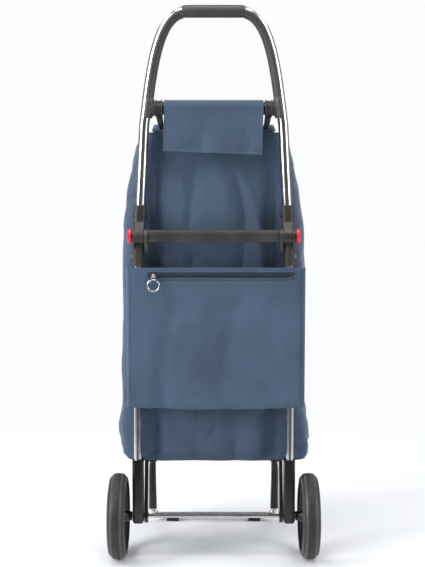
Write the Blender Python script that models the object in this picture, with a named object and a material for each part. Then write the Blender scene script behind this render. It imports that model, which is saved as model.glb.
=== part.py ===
"""Folding two-wheeled shopping trolley: tube frame, folding handle, folding front stand and a fabric bag.

Run with: blender --background --python part.py
Lengths are metres. +Z is up, +X is the user's right hand and +Y points from the user towards the bag's front.
The origin is on the ground, in the middle of the trolley's footprint.
"""

import math

import bmesh
import bpy
from mathutils import Matrix, Vector

MM = 0.001
GAP = 0.3 * MM  # running and resting clearance between separate pieces

# Frame of reference: the tubes and the axle stand in the plane y = FRAME_Y.
FRAME_Y = -79 * MM

# Wheels and axle
WHEEL_R = 82.5 * MM
TYRE_WIDTH = 35 * MM
TYRE_DEPTH = 16 * MM
WHEEL_X = 183.5 * MM
AXLE_R = 4 * MM
AXLE_HALF = 195 * MM
SPOKES = 6

# Lower frame
LOWER_BOTTOM = (146.0 * MM, 100 * MM)  # x, z of the lower tube's axis at its bottom end
LOWER_TOP = (142.8 * MM, 604 * MM)
LOWER_OVAL = (15.5 * MM, 24 * MM)
SOCKET_X = 145 * MM
SOCKET_SIZE = (22 * MM, 31 * MM)
SOCKET_Z = (71 * MM, 195 * MM)
TUBE_WALL = 1.5 * MM

# Fold joint: the pivot lies behind the tubes, so that the handle folds down flat behind them.
PIVOT = Vector((138.5 * MM, FRAME_Y - 18 * MM, 623 * MM))
DISC_R = 13.5 * MM
TONGUE_HALF = 8.5 * MM
CHEEK = (9 * MM, 15.2 * MM)
OUTER_CHEEK = 12 * MM  # the outer cheek is thinner, with a boss that the button slides over
BUTTON_BOSS_R = 10.5 * MM
SLEEVE_WALL = 2.6 * MM
PIN_R = 4 * MM
BUTTON_R = 13.4 * MM
BUTTON_X = (154.1 * MM, 160.8 * MM)
BUTTON_DEPTH = 3.6 * MM
BRACE_HALF = 122.9 * MM
BRACE_SIZE = (18 * MM, 23.2 * MM)
RIVET_R = 2.2 * MM
UPPER_RIVET_Z = 659 * MM
LOWER_RIVET_Z = 585 * MM

# Handle
UPPER_OVAL = (19 * MM, 23 * MM)
UPPER_FOOT = (139.6 * MM, 642 * MM)
LEG_TOP = (129.6 * MM, 829 * MM)
HANDLE_TOP_Z = 1033.5 * MM
HANDLE_FLAT = 48 * MM
HANDLE_LEAN = 24 * MM
GRIP_WALL = 2.0 * MM
GRIP_EDGE = -2.5 * MM
GRIP_CENTRE_HALF = 57 * MM
GRIP_BOTTOM = 880 * MM
GRIP_FOOT_Z = (843 * MM, 879.5 * MM)

# Top bar, bag hooks and hanging flap
TOP_BAR_Z = 860 * MM
TOP_BAR_R = 12 * MM
TOP_BAR_HALF = 113.2 * MM
BOSS_X = 110 * MM
HOOK_X = (95.5 * MM, 109 * MM)
FLAP_HALF = 92 * MM
FLAP_CLOTH = 2.2 * MM
FLAP_BOTTOM = 777 * MM
FLAP_FRONT = 820 * MM  # how low the cloth hangs in front of the bar
HOOK_TAIL = [  # x, y from the frame plane, z, width and thickness down the hook's tail
    (102 * MM, 8 * MM, 850 * MM, 12 * MM, 6 * MM),
    (101.5 * MM, 15 * MM, 843 * MM, 12 * MM, 6 * MM),
    (100 * MM, 22 * MM, 832 * MM, 11 * MM, 5 * MM),
    (97 * MM, 26 * MM, 821.5 * MM, 9 * MM, 4 * MM),
]

# Bag: (height, half width, front y measured from the frame plane)
BAG_BACK = 17 * MM
BASE_INSET = 22 * MM  # the floor board is narrower than the cloth round it
BASE_CORNER = 25 * MM
CLOTH = 2.5 * MM
BAG_LEVELS = [
    (187 * MM, 175 * MM, 224 * MM),
    (222 * MM, 185 * MM, 234 * MM),
    (250 * MM, 180 * MM, 234 * MM),
    (300 * MM, 173 * MM, 232 * MM),
    (560 * MM, 170 * MM, 226 * MM),
    (640 * MM, 170 * MM, 222 * MM),
    (700 * MM, 165 * MM, 217 * MM),
    (757 * MM, 155 * MM, 211 * MM),
    (790 * MM, 146 * MM, 207 * MM),
    (816 * MM, 134 * MM, 204 * MM),
]

# Rear pocket and zip
POCKET_Z = (299 * MM, 563 * MM)
POCKET_HALF = 168.5 * MM
POCKET_Y = (-17 * MM, -14.6 * MM)
ZIP_Z = 549.5 * MM
ZIP_X = (-124 * MM, 150 * MM)
SLIDER_X = -113 * MM
RING_R = 11 * MM
RING_WIRE = 1.3 * MM
LINK_WIRE = 0.6 * MM
LINK_HALF = 2.6 * MM
LINK_DROP = 7.6 * MM
BAIL = (4.1 * MM, 2.9 * MM)  # outer and inner radius of the slider's bail

# Front stand
STAND_BAR_R = 6.5 * MM
STAND_Y = 232 * MM
STAND_Z = 11 * MM
STAND_LEG_X = 129.7 * MM
STAND_BEND = 16 * MM
LEG_LEVELS = [  # height, width and depth of the moulded leg
    (29 * MM, 17 * MM, 17 * MM),
    (48 * MM, 17 * MM, 17.5 * MM),
    (90 * MM, 16 * MM, 18 * MM),
    (150 * MM, 16 * MM, 17.6 * MM),
]
PAD_X = (75 * MM, 100 * MM)
PAD_HALF = 8.5 * MM
STAND_PIVOT = (205 * MM, 152 * MM)
STAND_PIN_R = 3 * MM
BRACKET_X = (126.2 * MM, 133.2 * MM)
RAIL_Z = (168 * MM, 186.4 * MM)

# Lid
LID_HINGE = (22 * MM, 820 * MM)
LID_CLOTH = 2.5 * MM
LID_CROWN = 3 * MM  # how far the top drops towards its side edges
LID_TOP = [  # y from the frame plane, half width and height, from the neck to the front edge
    (22 * MM, 84 * MM, 824 * MM),
    (44 * MM, 84 * MM, 828 * MM),
    (52 * MM, 122 * MM, 830 * MM),
    (120 * MM, 122 * MM, 836 * MM),
    (190 * MM, 122 * MM, 830 * MM),
    (208 * MM, 120 * MM, 822 * MM),
]
LID_SKIRT = [  # the same, down the bag's front
    (214.5 * MM, 128 * MM, 800 * MM),
    (220.5 * MM, 150 * MM, 757 * MM),
    (225.5 * MM, 160 * MM, 712 * MM),
]

STEEL = ("polished aluminium", (0.78, 0.78, 0.80), 0.18, 1.0)
CHROME = ("bright steel", (0.72, 0.71, 0.71), 0.15, 1.0)
GREY = ("grey moulded plastic", (0.085, 0.083, 0.080), 0.5, 0.0)
BLACK = ("black moulded plastic", (0.02, 0.02, 0.02), 0.35, 0.0)
RED = ("red plastic", (0.75, 0.03, 0.05), 0.4, 0.0)
FOAM = ("dark grey foam tyre", (0.06, 0.06, 0.065), 0.7, 0.0)
FABRIC = ("blue polyester cloth", (0.07, 0.10, 0.19), 0.75, 0.0)
ZIP_BLUE = ("navy zip tape", (0.03, 0.04, 0.09), 0.8, 0.0)
NICKEL = ("nickel", (0.8, 0.79, 0.76), 0.2, 1.0)


# Shapes

def clear_scene():
    for thing in list(bpy.data.objects):
        bpy.data.objects.remove(thing)


def material(kind):
    name, colour, roughness, metallic = kind
    found = bpy.data.materials.get(name)
    if found:
        return found
    made = bpy.data.materials.new(name)
    made.use_nodes = True
    shader = made.node_tree.nodes["Principled BSDF"]
    shader.inputs["Base Color"].default_value = (*colour, 1)
    shader.inputs["Roughness"].default_value = roughness
    shader.inputs["Metallic"].default_value = metallic
    return made


def add(name, bm, kind, origin=(0, 0, 0)):
    """Makes an object from bm, with its origin moved to the given point, such as a joint's axis."""
    bmesh.ops.recalc_face_normals(bm, faces=bm.faces)
    bmesh.ops.translate(bm, verts=bm.verts, vec=-Vector(origin))
    mesh = bpy.data.meshes.new(name)
    bm.to_mesh(mesh)
    bm.free()
    mesh.shade_smooth()
    mesh.set_sharp_from_angle(angle=math.radians(35))
    made = bpy.data.objects.new(name, mesh)
    made.location = origin
    bpy.context.scene.collection.objects.link(made)
    made.data.materials.append(material(kind))
    return made


def rings_to_bmesh(rings):
    """Skins a row of equal rings, each a list of points, and caps both ends."""
    bm = bmesh.new()
    rows = [[bm.verts.new(p) for p in ring] for ring in rings]
    skin(bm, rows)
    bm.faces.new(rows[0])
    bm.faces.new(rows[-1])
    return bm


def skin(bm, rows):
    for low, high in zip(rows, rows[1:]):
        for i in range(len(low)):
            j = (i + 1) % len(low)
            bm.faces.new((low[i], low[j], high[j], high[i]))


def pipe_bmesh(outer, inner):
    """A hollow length: outer and inner rings of the same count, joined at both ends."""
    bm = bmesh.new()
    out_rows = [[bm.verts.new(p) for p in ring] for ring in outer]
    in_rows = [[bm.verts.new(p) for p in ring] for ring in inner]
    skin(bm, out_rows)
    skin(bm, [list(reversed(row)) for row in in_rows])
    for o, i in ((out_rows[0], in_rows[0]), (out_rows[-1], in_rows[-1])):
        for a in range(len(o)):
            b = (a + 1) % len(o)
            bm.faces.new((o[a], o[b], i[b], i[a]))
    return bm


def oval(cx, cy, z, size_x, size_y, count=16, power=2.4):
    """A level ring: a rounded rectangle when power is well above 2."""
    points = []
    for k in range(count):
        a = 2 * math.pi * (k + 0.5) / count
        c, s = math.cos(a), math.sin(a)
        points.append(Vector((
            cx + size_x / 2 * math.copysign(abs(c) ** (2 / power), c),
            cy + size_y / 2 * math.copysign(abs(s) ** (2 / power), s),
            z,
        )))
    return points


def box_bmesh(low, high):
    bm = bmesh.new()
    size = Vector(high) - Vector(low)
    centre = (Vector(high) + Vector(low)) / 2
    bmesh.ops.create_cube(bm, size=1, matrix=Matrix.Translation(centre) @ Matrix.Diagonal((*size, 1)))
    return bm


def turned_x(profile, centre, segments=32):
    """A closed profile of (x, radius) points, turned about the line along X through centre."""
    rings = []
    for k in range(segments):
        a = 2 * math.pi * k / segments
        rings.append([
            Vector((x, centre[1] + r * math.cos(a), centre[2] + r * math.sin(a)))
            for x, r in profile
        ])
    bm = bmesh.new()
    rows = [[bm.verts.new(p) for p in ring] for ring in rings]
    skin(bm, rows + [rows[0]])
    return bm


def rod_x(x0, x1, radius, centre, segments=16):
    rings = []
    for x in (x0, x1):
        rings.append([
            Vector((x, centre[1] + radius * math.cos(2 * math.pi * k / segments),
                    centre[2] + radius * math.sin(2 * math.pi * k / segments)))
            for k in range(segments)
        ])
    return rings_to_bmesh(rings)


def plate_x(x0, x1, outline):
    """A plate square to X, with an outline of (y, z) points."""
    return rings_to_bmesh([[Vector((x, y, z)) for y, z in outline] for x in (x0, x1)])


def arc(cy, cz, radius, start, end, steps):
    """Points (y, z) on an arc, angles in degrees from +Y towards +Z."""
    return [
        (cy + radius * math.cos(math.radians(start + (end - start) * k / steps)),
         cz + radius * math.sin(math.radians(start + (end - start) * k / steps)))
        for k in range(steps + 1)
    ]


def cut(target, cutter_bm, operation="DIFFERENCE"):
    """Cuts (or joins) a shape with another, given in scene coordinates, by an exact Boolean."""
    bmesh.ops.recalc_face_normals(cutter_bm, faces=cutter_bm.faces)
    mesh = bpy.data.meshes.new("cutter")
    cutter_bm.to_mesh(mesh)
    cutter_bm.free()
    cutter = bpy.data.objects.new("cutter", mesh)
    bpy.context.scene.collection.objects.link(cutter)
    step = target.modifiers.new("cut", "BOOLEAN")
    step.operation = operation
    step.object = cutter
    step.solver = "EXACT"
    bpy.context.view_layer.update()
    graph = bpy.context.evaluated_depsgraph_get()
    result = bpy.data.meshes.new_from_object(target.evaluated_get(graph))
    target.modifiers.clear()
    target.data = result
    bpy.data.objects.remove(cutter)
    result.shade_smooth()
    result.set_sharp_from_angle(angle=math.radians(35))


def mirrored(bm, side):
    """Turns a left-hand shape (x positive) into the one for the given side."""
    if side < 0:
        bmesh.ops.scale(bm, vec=(-1, 1, 1), verts=bm.verts)
        bmesh.ops.reverse_faces(bm, faces=bm.faces)
    return bm


def sides():
    return ((-1, "left"), (1, "right"))


def at(point, side):
    return Vector((point[0] * side, point[1], point[2]))


# Wheels

def tyre_profile():
    """Rounded outside, flat seat inside, as (x from the wheel's middle, radius)."""
    half = TYRE_WIDTH / 2
    seat = WHEEL_R - TYRE_DEPTH
    crown = [
        (half * math.sin(a) * 0.999, WHEEL_R - half + half * math.cos(a))
        for a in (math.radians(t) for t in range(-80, 81, 20))
    ]
    return [(-half * 0.86, seat), *crown, (half * 0.86, seat)]


def wheel(side, label):
    centre = Vector((WHEEL_X * side, FRAME_Y, WHEEL_R))
    seat = WHEEL_R - TYRE_DEPTH - GAP
    tyre = turned_x([(centre.x + x, r) for x, r in tyre_profile()], centre, 36)
    add(f"tyre_{label}", tyre, FOAM, centre)

    rim_half = 13 * MM
    rim_profile = [(-rim_half, seat), (rim_half, seat), (rim_half, seat - 5 * MM), (0, seat - 8 * MM),
                   (-rim_half, seat - 5 * MM)]
    rim = add(f"rim_{label}", turned_x([(centre.x + x, r) for x, r in rim_profile], centre, 32), GREY, centre)
    hub_r = 13 * MM
    inner, outer = -26.5 * MM * side, 12 * MM * side
    bore = AXLE_R + GAP
    hub_profile = [(centre.x + inner, bore), (centre.x + inner, 9 * MM), (centre.x - outer, hub_r),
                   (centre.x + outer, hub_r), (centre.x + outer, bore)]
    hub = turned_x(hub_profile, centre, 16)
    cut(rim, hub, "UNION")
    for k in range(SPOKES):
        spoke = box_bmesh((-5 * MM, -4.5 * MM, hub_r - 2 * MM), (5 * MM, 4.5 * MM, seat - 6 * MM))
        turn = Matrix.Rotation(2 * math.pi * k / SPOKES, 4, "X")
        bmesh.ops.transform(spoke, matrix=Matrix.Translation(centre) @ turn, verts=spoke.verts)
        cut(rim, spoke, "UNION")

    cap_in = AXLE_HALF + 0.6 * MM
    cap = turned_x([(side * cap_in, 0.5 * MM), (side * cap_in, 11 * MM), (side * (cap_in + 3 * MM), 10 * MM),
                    (side * (cap_in + 4.4 * MM), 6 * MM), (side * (cap_in + 4.4 * MM), 0.5 * MM)], centre, 16)
    add(f"hub_cap_{label}", cap, BLACK, centre)


def axle():
    centre = (0, FRAME_Y, WHEEL_R)
    add("axle", rod_x(-AXLE_HALF, AXLE_HALF, AXLE_R, centre), CHROME)


# Lower frame

def lower_axis(z):
    (x0, z0), (x1, z1) = LOWER_BOTTOM, LOWER_TOP
    return x0 + (x1 - x0) * (z - z0) / (z1 - z0)


def lower_tube(side, label):
    outer, inner = [], []
    for z in (LOWER_BOTTOM[1], LOWER_TOP[1]):
        x = lower_axis(z)
        outer.append(oval(x, FRAME_Y, z, *LOWER_OVAL))
        inner.append(oval(x, FRAME_Y, z, LOWER_OVAL[0] - 2 * TUBE_WALL, LOWER_OVAL[1] - 2 * TUBE_WALL))
    tube = add(f"lower_tube_{label}", mirrored(pipe_bmesh(outer, inner), side), STEEL)
    cut(tube, rivet_hole(side, lower_axis(LOWER_RIVET_Z), LOWER_RIVET_Z))


def rivet_hole(side, x, z):
    return mirrored(rod_x(x - 20 * MM, x + 20 * MM, RIVET_R + GAP, (0, FRAME_Y, z), 10), side)


def rivet(name, side, kind, x, z, half):
    """Cross rivet through a leg and its sleeve: a shank with a domed head at each end."""
    head = 1.6 * MM
    profile = [(x - half - head, 0.4 * MM), (x - half - head, RIVET_R), (x - half - GAP, RIVET_R * 1.9),
               (x - half - GAP, RIVET_R), (x + half + GAP, RIVET_R), (x + half + GAP, RIVET_R * 1.9),
               (x + half + head, RIVET_R), (x + half + head, 0.4 * MM)]
    add(name, mirrored(turned_x(profile, (0, FRAME_Y, z), 10), side), kind)


def axle_socket(side, label):
    low, high = SOCKET_Z
    rings = []
    for z, grow in ((low, -4 * MM), (low + 4 * MM, 0), (high - 3 * MM, 0), (high, -1.5 * MM)):
        rings.append(oval(SOCKET_X, FRAME_Y, z, SOCKET_SIZE[0] + grow, SOCKET_SIZE[1] + grow, power=5))
    socket = add(f"axle_socket_{label}", mirrored(rings_to_bmesh(rings), side), BLACK)
    tube_hole = rings_to_bmesh([
        oval(lower_axis(z), FRAME_Y, z, LOWER_OVAL[0] + 2 * GAP, LOWER_OVAL[1] + 2 * GAP)
        for z in (LOWER_BOTTOM[1] - 2 * MM, high + 20 * MM)
    ])
    cut(socket, mirrored(tube_hole, side))
    cut(socket, mirrored(rod_x(100 * MM, 190 * MM, AXLE_R + GAP, (0, FRAME_Y, WHEEL_R), 20), side))


def side_bracket(side, label):
    """A post over the axle, a rail along the bag's floor and a lug for the stand's pivot."""
    y0 = FRAME_Y
    py, pz = STAND_PIVOT
    outline = [
        *arc(y0, WHEEL_R, 13 * MM, 180, 290, 6),
        (y0 + 30 * MM, 84 * MM),
        (y0 + 37 * MM, 120 * MM),
        *reversed(arc(y0 + 62 * MM, 143 * MM, 25 * MM, 90, 180, 5)),
        (y0 + py - 14 * MM, RAIL_Z[0]),
        *arc(y0 + py, pz, 8.5 * MM, 180, 360, 8),
        (y0 + py + 8.5 * MM, RAIL_Z[0] + 6 * MM),
        (y0 + py + 6 * MM, RAIL_Z[1]),
        (y0 + 17 * MM, RAIL_Z[1]),
        (y0 + 8 * MM, 160 * MM),
    ]
    bracket = add(f"side_bracket_{label}", mirrored(plate_x(*BRACKET_X, outline), side), BLACK)
    cut(bracket, mirrored(rod_x(110 * MM, 150 * MM, AXLE_R + GAP, (0, y0, WHEEL_R), 20), side))
    cut(bracket, mirrored(rod_x(110 * MM, 150 * MM, STAND_PIN_R + GAP, (0, y0 + py, pz), 16), side))
    floor_ledge = box_bmesh((110 * MM, y0 + 22 * MM, RAIL_Z[1] - 3 * MM),
                            (BRACKET_X[0] + 1 * MM, y0 + py - 16 * MM, RAIL_Z[1]))
    cut(bracket, mirrored(floor_ledge, side), "UNION")


# Fold joint

def pin_hole(side):
    return mirrored(rod_x(PIVOT.x - 30 * MM, PIVOT.x + 30 * MM, PIN_R + GAP, PIVOT, 20), side)


def lower_knuckle(side, label):
    """A sleeve over the lower tube's top that carries two cheeks behind it, one each side of the tongue."""
    wide, deep = LOWER_OVAL[0] + 2 * SLEEVE_WALL, LOWER_OVAL[1] + 2 * SLEEVE_WALL
    rings = [
        oval(lower_axis(566 * MM), FRAME_Y, 566 * MM, wide, deep, power=3),
        oval(lower_axis(600 * MM), FRAME_Y, 600 * MM, wide + 1 * MM, deep, power=3),
        oval(PIVOT.x + 0.5 * MM, FRAME_Y, 612 * MM, 23.6 * MM, deep, power=3.5),
        oval(PIVOT.x, FRAME_Y, PIVOT.z - GAP, 24 * MM, deep, power=4),
    ]
    knuckle = add(f"lower_knuckle_{label}", mirrored(rings_to_bmesh(rings), side), GREY)
    for low, high in ((-CHEEK[1], -CHEEK[0]), (CHEEK[0], OUTER_CHEEK)):
        cheek_outline = [
            *arc(PIVOT.y, PIVOT.z, DISC_R, 0, 250, 18),
            (FRAME_Y - 8 * MM, 592 * MM),
            (FRAME_Y + 6 * MM, 600 * MM),
            (FRAME_Y + 6 * MM, PIVOT.z - 2 * MM),
        ]
        cheek = plate_x(PIVOT.x + low, PIVOT.x + high, cheek_outline)
        cut(knuckle, mirrored(cheek, side), "UNION")
    boss = rod_x(PIVOT.x + CHEEK[0] + 1 * MM, PIVOT.x + CHEEK[1], BUTTON_BOSS_R, PIVOT)
    cut(knuckle, mirrored(boss, side), "UNION")
    slot = rod_x(PIVOT.x - CHEEK[0], PIVOT.x + CHEEK[0], DISC_R + 2 * GAP, PIVOT, 24)
    cut(knuckle, mirrored(slot, side))
    tube_hole = rings_to_bmesh([
        oval(lower_axis(z), FRAME_Y, z, LOWER_OVAL[0] + 2 * GAP, LOWER_OVAL[1] + 2 * GAP)
        for z in (550 * MM, LOWER_TOP[1] + 1 * MM)
    ])
    cut(knuckle, mirrored(tube_hole, side))
    cut(knuckle, pin_hole(side))
    cut(knuckle, rivet_hole(side, lower_axis(LOWER_RIVET_Z), LOWER_RIVET_Z))


def leg_x(z):
    """The handle leg's axis on its straight part."""
    (x0, z0), (x1, z1) = UPPER_FOOT, LEG_TOP
    return x0 + (x1 - x0) * (z - z0) / (z1 - z0)


def upper_knuckle(side, label):
    """A sleeve over the handle leg's foot, with a tongue that turns between the lower knuckle's cheeks."""
    wide, deep = UPPER_OVAL[0] + 2 * 1.6 * MM, UPPER_OVAL[1] + 2 * SLEEVE_WALL
    rings = [
        oval(PIVOT.x, FRAME_Y, PIVOT.z + GAP, 24 * MM, deep, power=4),
        oval(PIVOT.x + 0.2 * MM, FRAME_Y, 634 * MM, 23.6 * MM, deep, power=3.5),
        oval(leg_x(648 * MM), FRAME_Y, 648 * MM, wide + 0.6 * MM, deep, power=3),
        oval(leg_x(681 * MM), FRAME_Y, 681 * MM, wide, deep, power=3),
    ]
    knuckle = add(f"upper_knuckle_{label}", mirrored(rings_to_bmesh(rings), side), GREY, at(PIVOT, side))
    tongue_outline = [
        *arc(PIVOT.y, PIVOT.z, DISC_R, 120, 364, 16),
        (FRAME_Y + 4 * MM, 646 * MM),
        (FRAME_Y - 12 * MM, 652 * MM),
    ]
    tongue = plate_x(PIVOT.x - TONGUE_HALF, PIVOT.x + TONGUE_HALF, tongue_outline)
    cut(knuckle, mirrored(tongue, side), "UNION")
    for low, high in ((-20 * MM, -TONGUE_HALF), (TONGUE_HALF, 20 * MM)):
        clearance = rod_x(PIVOT.x + low, PIVOT.x + high, DISC_R + 2 * GAP, PIVOT, 24)
        cut(knuckle, mirrored(clearance, side))
    tube_hole = rings_to_bmesh([
        oval(leg_x(z), FRAME_Y, z, UPPER_OVAL[0] + 2 * GAP, UPPER_OVAL[1] + 2 * GAP)
        for z in (UPPER_FOOT[1] - 1 * MM, 700 * MM)
    ])
    cut(knuckle, mirrored(tube_hole, side))
    cut(knuckle, pin_hole(side))
    cut(knuckle, rivet_hole(side, leg_x(UPPER_RIVET_Z), UPPER_RIVET_Z))


def pivot_pin(side, label):
    add(f"pivot_pin_{label}", mirrored(rod_x(BRACE_HALF + 0.4 * MM, 146 * MM, PIN_R, PIVOT), side), CHROME,
        at(PIVOT, side))


def fold_button(side, label):
    """A red cup that slides over the outer cheek's boss, on a stem that slides in the pivot hole."""
    x0, x1 = BUTTON_X
    floor, bore = x0 + BUTTON_DEPTH, BUTTON_BOSS_R + GAP
    stem = 150 * MM
    profile = [(stem, 0.5 * MM), (stem, PIN_R), (floor, PIN_R), (floor, bore), (x0, bore), (x0, BUTTON_R),
               (x1 - 1.5 * MM, BUTTON_R), (x1, BUTTON_R - 2 * MM), (x1, 0.5 * MM)]
    add(f"fold_button_{label}", mirrored(turned_x(profile, PIVOT, 20), side), RED, at(PIVOT, side))


def rear_brace():
    """A rounded bar that ties both joints together on their pivot axis."""
    level = oval(PIVOT.y, PIVOT.z, 0, *BRACE_SIZE, count=20, power=3.6)
    outline = [(p.x, p.y) for p in level]
    add("rear_brace", plate_x(-BRACE_HALF, BRACE_HALF, outline), GREY)


# Handle

def handle_path(steps=12):
    """Axis of the bent handle tube, as points from the right foot over the top to the left one."""
    p0, p3 = Vector((*LEG_TOP, 0)), Vector((HANDLE_FLAT, HANDLE_TOP_Z, 0))
    p1 = p0 + Vector((-14 * MM, 109 * MM, 0))
    p2 = p3 + Vector((56 * MM, 0, 0))
    half = [Vector((UPPER_FOOT[0], UPPER_FOOT[1], 0)), Vector((leg_x(735 * MM), 735 * MM, 0))]
    for k in range(steps + 1):
        t = k / steps
        half.append(p0 * (1 - t) ** 3 + p1 * 3 * (1 - t) ** 2 * t + p2 * 3 * (1 - t) * t * t + p3 * t ** 3)
    right = [Vector((p.x, FRAME_Y + lean(p.y), p.y)) for p in half]
    left = [Vector((-p.x, p.y, p.z)) for p in reversed(right)]
    return right + [Vector((0, FRAME_Y + lean(HANDLE_TOP_Z), HANDLE_TOP_Z))] + left


def lean(z):
    """How far the handle bends back towards the user at height z."""
    start = LEG_TOP[1]
    return -HANDLE_LEAN * (max(0, z - start) / (HANDLE_TOP_Z - start)) ** 1.7


def stretch(path, axis, low, high):
    """The part of a polyline whose coordinate along axis lies from low to high, cut exactly at its ends."""
    kept = []
    for a, b in zip(path, path[1:]):
        span = b[axis] - a[axis]
        if abs(span) < 1e-9:
            continue
        ends = sorted(((low - a[axis]) / span, (high - a[axis]) / span))
        t0, t1 = max(0, ends[0]), min(1, ends[1])
        if t0 < t1:
            kept += [a.lerp(b, t0), a.lerp(b, t1)]
    return [p for k, p in enumerate(kept) if k == 0 or (p - kept[k - 1]).length > 1e-6]


def sweep_rings(path, section):
    """Rings of a section (inward, across) carried along a path that runs from +X over the top to -X."""
    rings = []
    for k, p in enumerate(path):
        ahead = path[min(k + 1, len(path) - 1)] - path[max(k - 1, 0)]
        tangent = ahead.normalized()
        across = Vector((0, 1, 0))
        across = (across - tangent * across.dot(tangent)).normalized()
        inward = tangent.cross(across).normalized()
        rings.append([p + inward * u + across * v for u, v in section])
    return rings


def oval_section(size_in, size_across, count=12):
    return [
        (size_in / 2 * math.cos(2 * math.pi * (k + 0.5) / count),
         size_across / 2 * math.sin(2 * math.pi * (k + 0.5) / count))
        for k in range(count)
    ]


def handle_tube():
    path = handle_path()
    outer = sweep_rings(path, oval_section(*UPPER_OVAL))
    inner = sweep_rings(path, oval_section(UPPER_OVAL[0] - 2 * TUBE_WALL, UPPER_OVAL[1] - 2 * TUBE_WALL))
    tube = add("handle_tube", pipe_bmesh(outer, inner), STEEL)
    for side, _ in sides():
        cut(tube, rivet_hole(side, leg_x(UPPER_RIVET_Z), UPPER_RIVET_Z))


def channel_section():
    """A C-shaped section that wraps the tube's inner side, from the line u = GRIP_EDGE round the crown."""
    a_in, b_in = UPPER_OVAL[0] / 2 + GAP, UPPER_OVAL[1] / 2 + GAP
    a_out, b_out = a_in + GRIP_WALL, b_in + GRIP_WALL
    first = math.acos(GRIP_EDGE / a_in)
    angles = [first - 2 * first * k / 10 for k in range(11)]
    inner = [(a_in * math.cos(a), b_in * math.sin(a)) for a in angles]
    outer = [(a_out * math.cos(a * 0.97), b_out * math.sin(a * 0.97)) for a in angles]
    return outer + inner[::-1]


def grip_side(side, label):
    """Moulded channel on the handle's inner side, from the foot bracket round the corner to the centre grip."""
    kept = stretch(handle_path(), 0, GRIP_CENTRE_HALF + 2 * MM, 300 * MM)
    kept = stretch(kept, 2, GRIP_BOTTOM, HANDLE_TOP_Z)
    channel = rings_to_bmesh(sweep_rings(kept, channel_section()))
    add(f"grip_{label}", mirrored(channel, side), GREY)


def grip_centre():
    """Full sleeve round the top of the handle."""
    kept = stretch(handle_path(), 0, -GRIP_CENTRE_HALF, GRIP_CENTRE_HALF)
    size = (UPPER_OVAL[0] + 2 * GRIP_WALL, UPPER_OVAL[1] + 2 * GRIP_WALL)
    outer = sweep_rings(kept, oval_section(*size))
    inner = sweep_rings(kept, oval_section(UPPER_OVAL[0] + 2 * GAP, UPPER_OVAL[1] + 2 * GAP))
    add("grip_centre", pipe_bmesh(outer, inner), GREY)


def grip_foot(side, label):
    """Bracket moulded round the leg, with a socket that holds the end of the top bar."""
    whole = stretch(handle_path(), 0, 0, 300 * MM)
    path = stretch(whole, 2, *GRIP_FOOT_Z)
    size = (UPPER_OVAL[0] + 4.4 * MM, UPPER_OVAL[1] + 4.4 * MM)
    sleeve = rings_to_bmesh(sweep_rings(path, oval_section(*size)))
    foot = add(f"grip_foot_{label}", mirrored(sleeve, side), GREY)
    centre = (0, FRAME_Y, TOP_BAR_Z)
    boss = rod_x(BOSS_X, 122 * MM, TOP_BAR_R + 2 * MM, centre, 20)
    cut(foot, mirrored(boss, side), "UNION")
    leg_room = sweep_rings(whole, oval_section(UPPER_OVAL[0] + 2 * GAP, UPPER_OVAL[1] + 2 * GAP))
    cut(foot, mirrored(rings_to_bmesh(leg_room), side))
    cut(foot, mirrored(rod_x(90 * MM, TOP_BAR_HALF + GAP, TOP_BAR_R + GAP, centre, 20), side))


def top_bar():
    add("top_bar", rod_x(-TOP_BAR_HALF, TOP_BAR_HALF, TOP_BAR_R, (0, FRAME_Y, TOP_BAR_Z), 20), BLACK)


def bag_hook(side, label):
    """Ribbed collar round the top bar, with a tapered tail that dips to the bag's rim."""
    centre = (0, FRAME_Y, TOP_BAR_Z)
    x0, x1 = HOOK_X
    bore, body, rib = TOP_BAR_R + GAP, TOP_BAR_R + 2.2 * MM, TOP_BAR_R + 3.8 * MM
    profile = [(x0, bore), (x0, rib), (x0 + 2 * MM, rib), (x0 + 3 * MM, body), (x1 - 3 * MM, body),
               (x1 - 2 * MM, rib), (x1, rib), (x1, bore)]
    hook = add(f"bag_hook_{label}", mirrored(turned_x(profile, centre, 20), side), GREY)
    tail = []
    for x, y, z, width, thick in HOOK_TAIL:
        tail.append([
            Vector((x + a * width / 2, FRAME_Y + y + b * thick / 2, z))
            for a, b in ((-1, -0.6), (-0.6, -1), (0.6, -1), (1, -0.6), (1, 0.6), (0.6, 1), (-0.6, 1), (-1, 0.6))
        ])
    cut(hook, mirrored(rings_to_bmesh(tail), side), "UNION")
    cut(hook, mirrored(rod_x(80 * MM, 130 * MM, bore, centre, 20), side))


def hanging_flap():
    """The strap of cloth that the bag hangs from: up the front of the top bar, over it and down behind it."""
    inner, outer = TOP_BAR_R + GAP, TOP_BAR_R + GAP + FLAP_CLOTH
    y, z = FRAME_Y, TOP_BAR_Z
    outline = [
        (y + outer, FLAP_FRONT),
        *arc(y, z, outer, 0, 180, 12),
        (y - outer - 1.5 * MM, FLAP_BOTTOM),
        (y - inner - 1.5 * MM, FLAP_BOTTOM),
        *arc(y, z, inner, 180, 0, 12),
        (y + inner, FLAP_FRONT),
    ]
    add("hanging_flap", plate_x(-FLAP_HALF, FLAP_HALF, outline), FABRIC)


# Bag

def bag_panel(name, x_of, low, high):
    """A vertical cloth panel: at each level a flat ring between the low and high corners that x_of gives."""
    rings = []
    for z, half, front in BAG_LEVELS:
        x0, y0, x1, y1 = x_of(half, FRAME_Y + front)
        rings.append([Vector((x0, y0, z)), Vector((x1, y0, z)), Vector((x1, y1, z)), Vector((x0, y1, z))])
    add(name, rings_to_bmesh(rings[low:high]), FABRIC)


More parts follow.
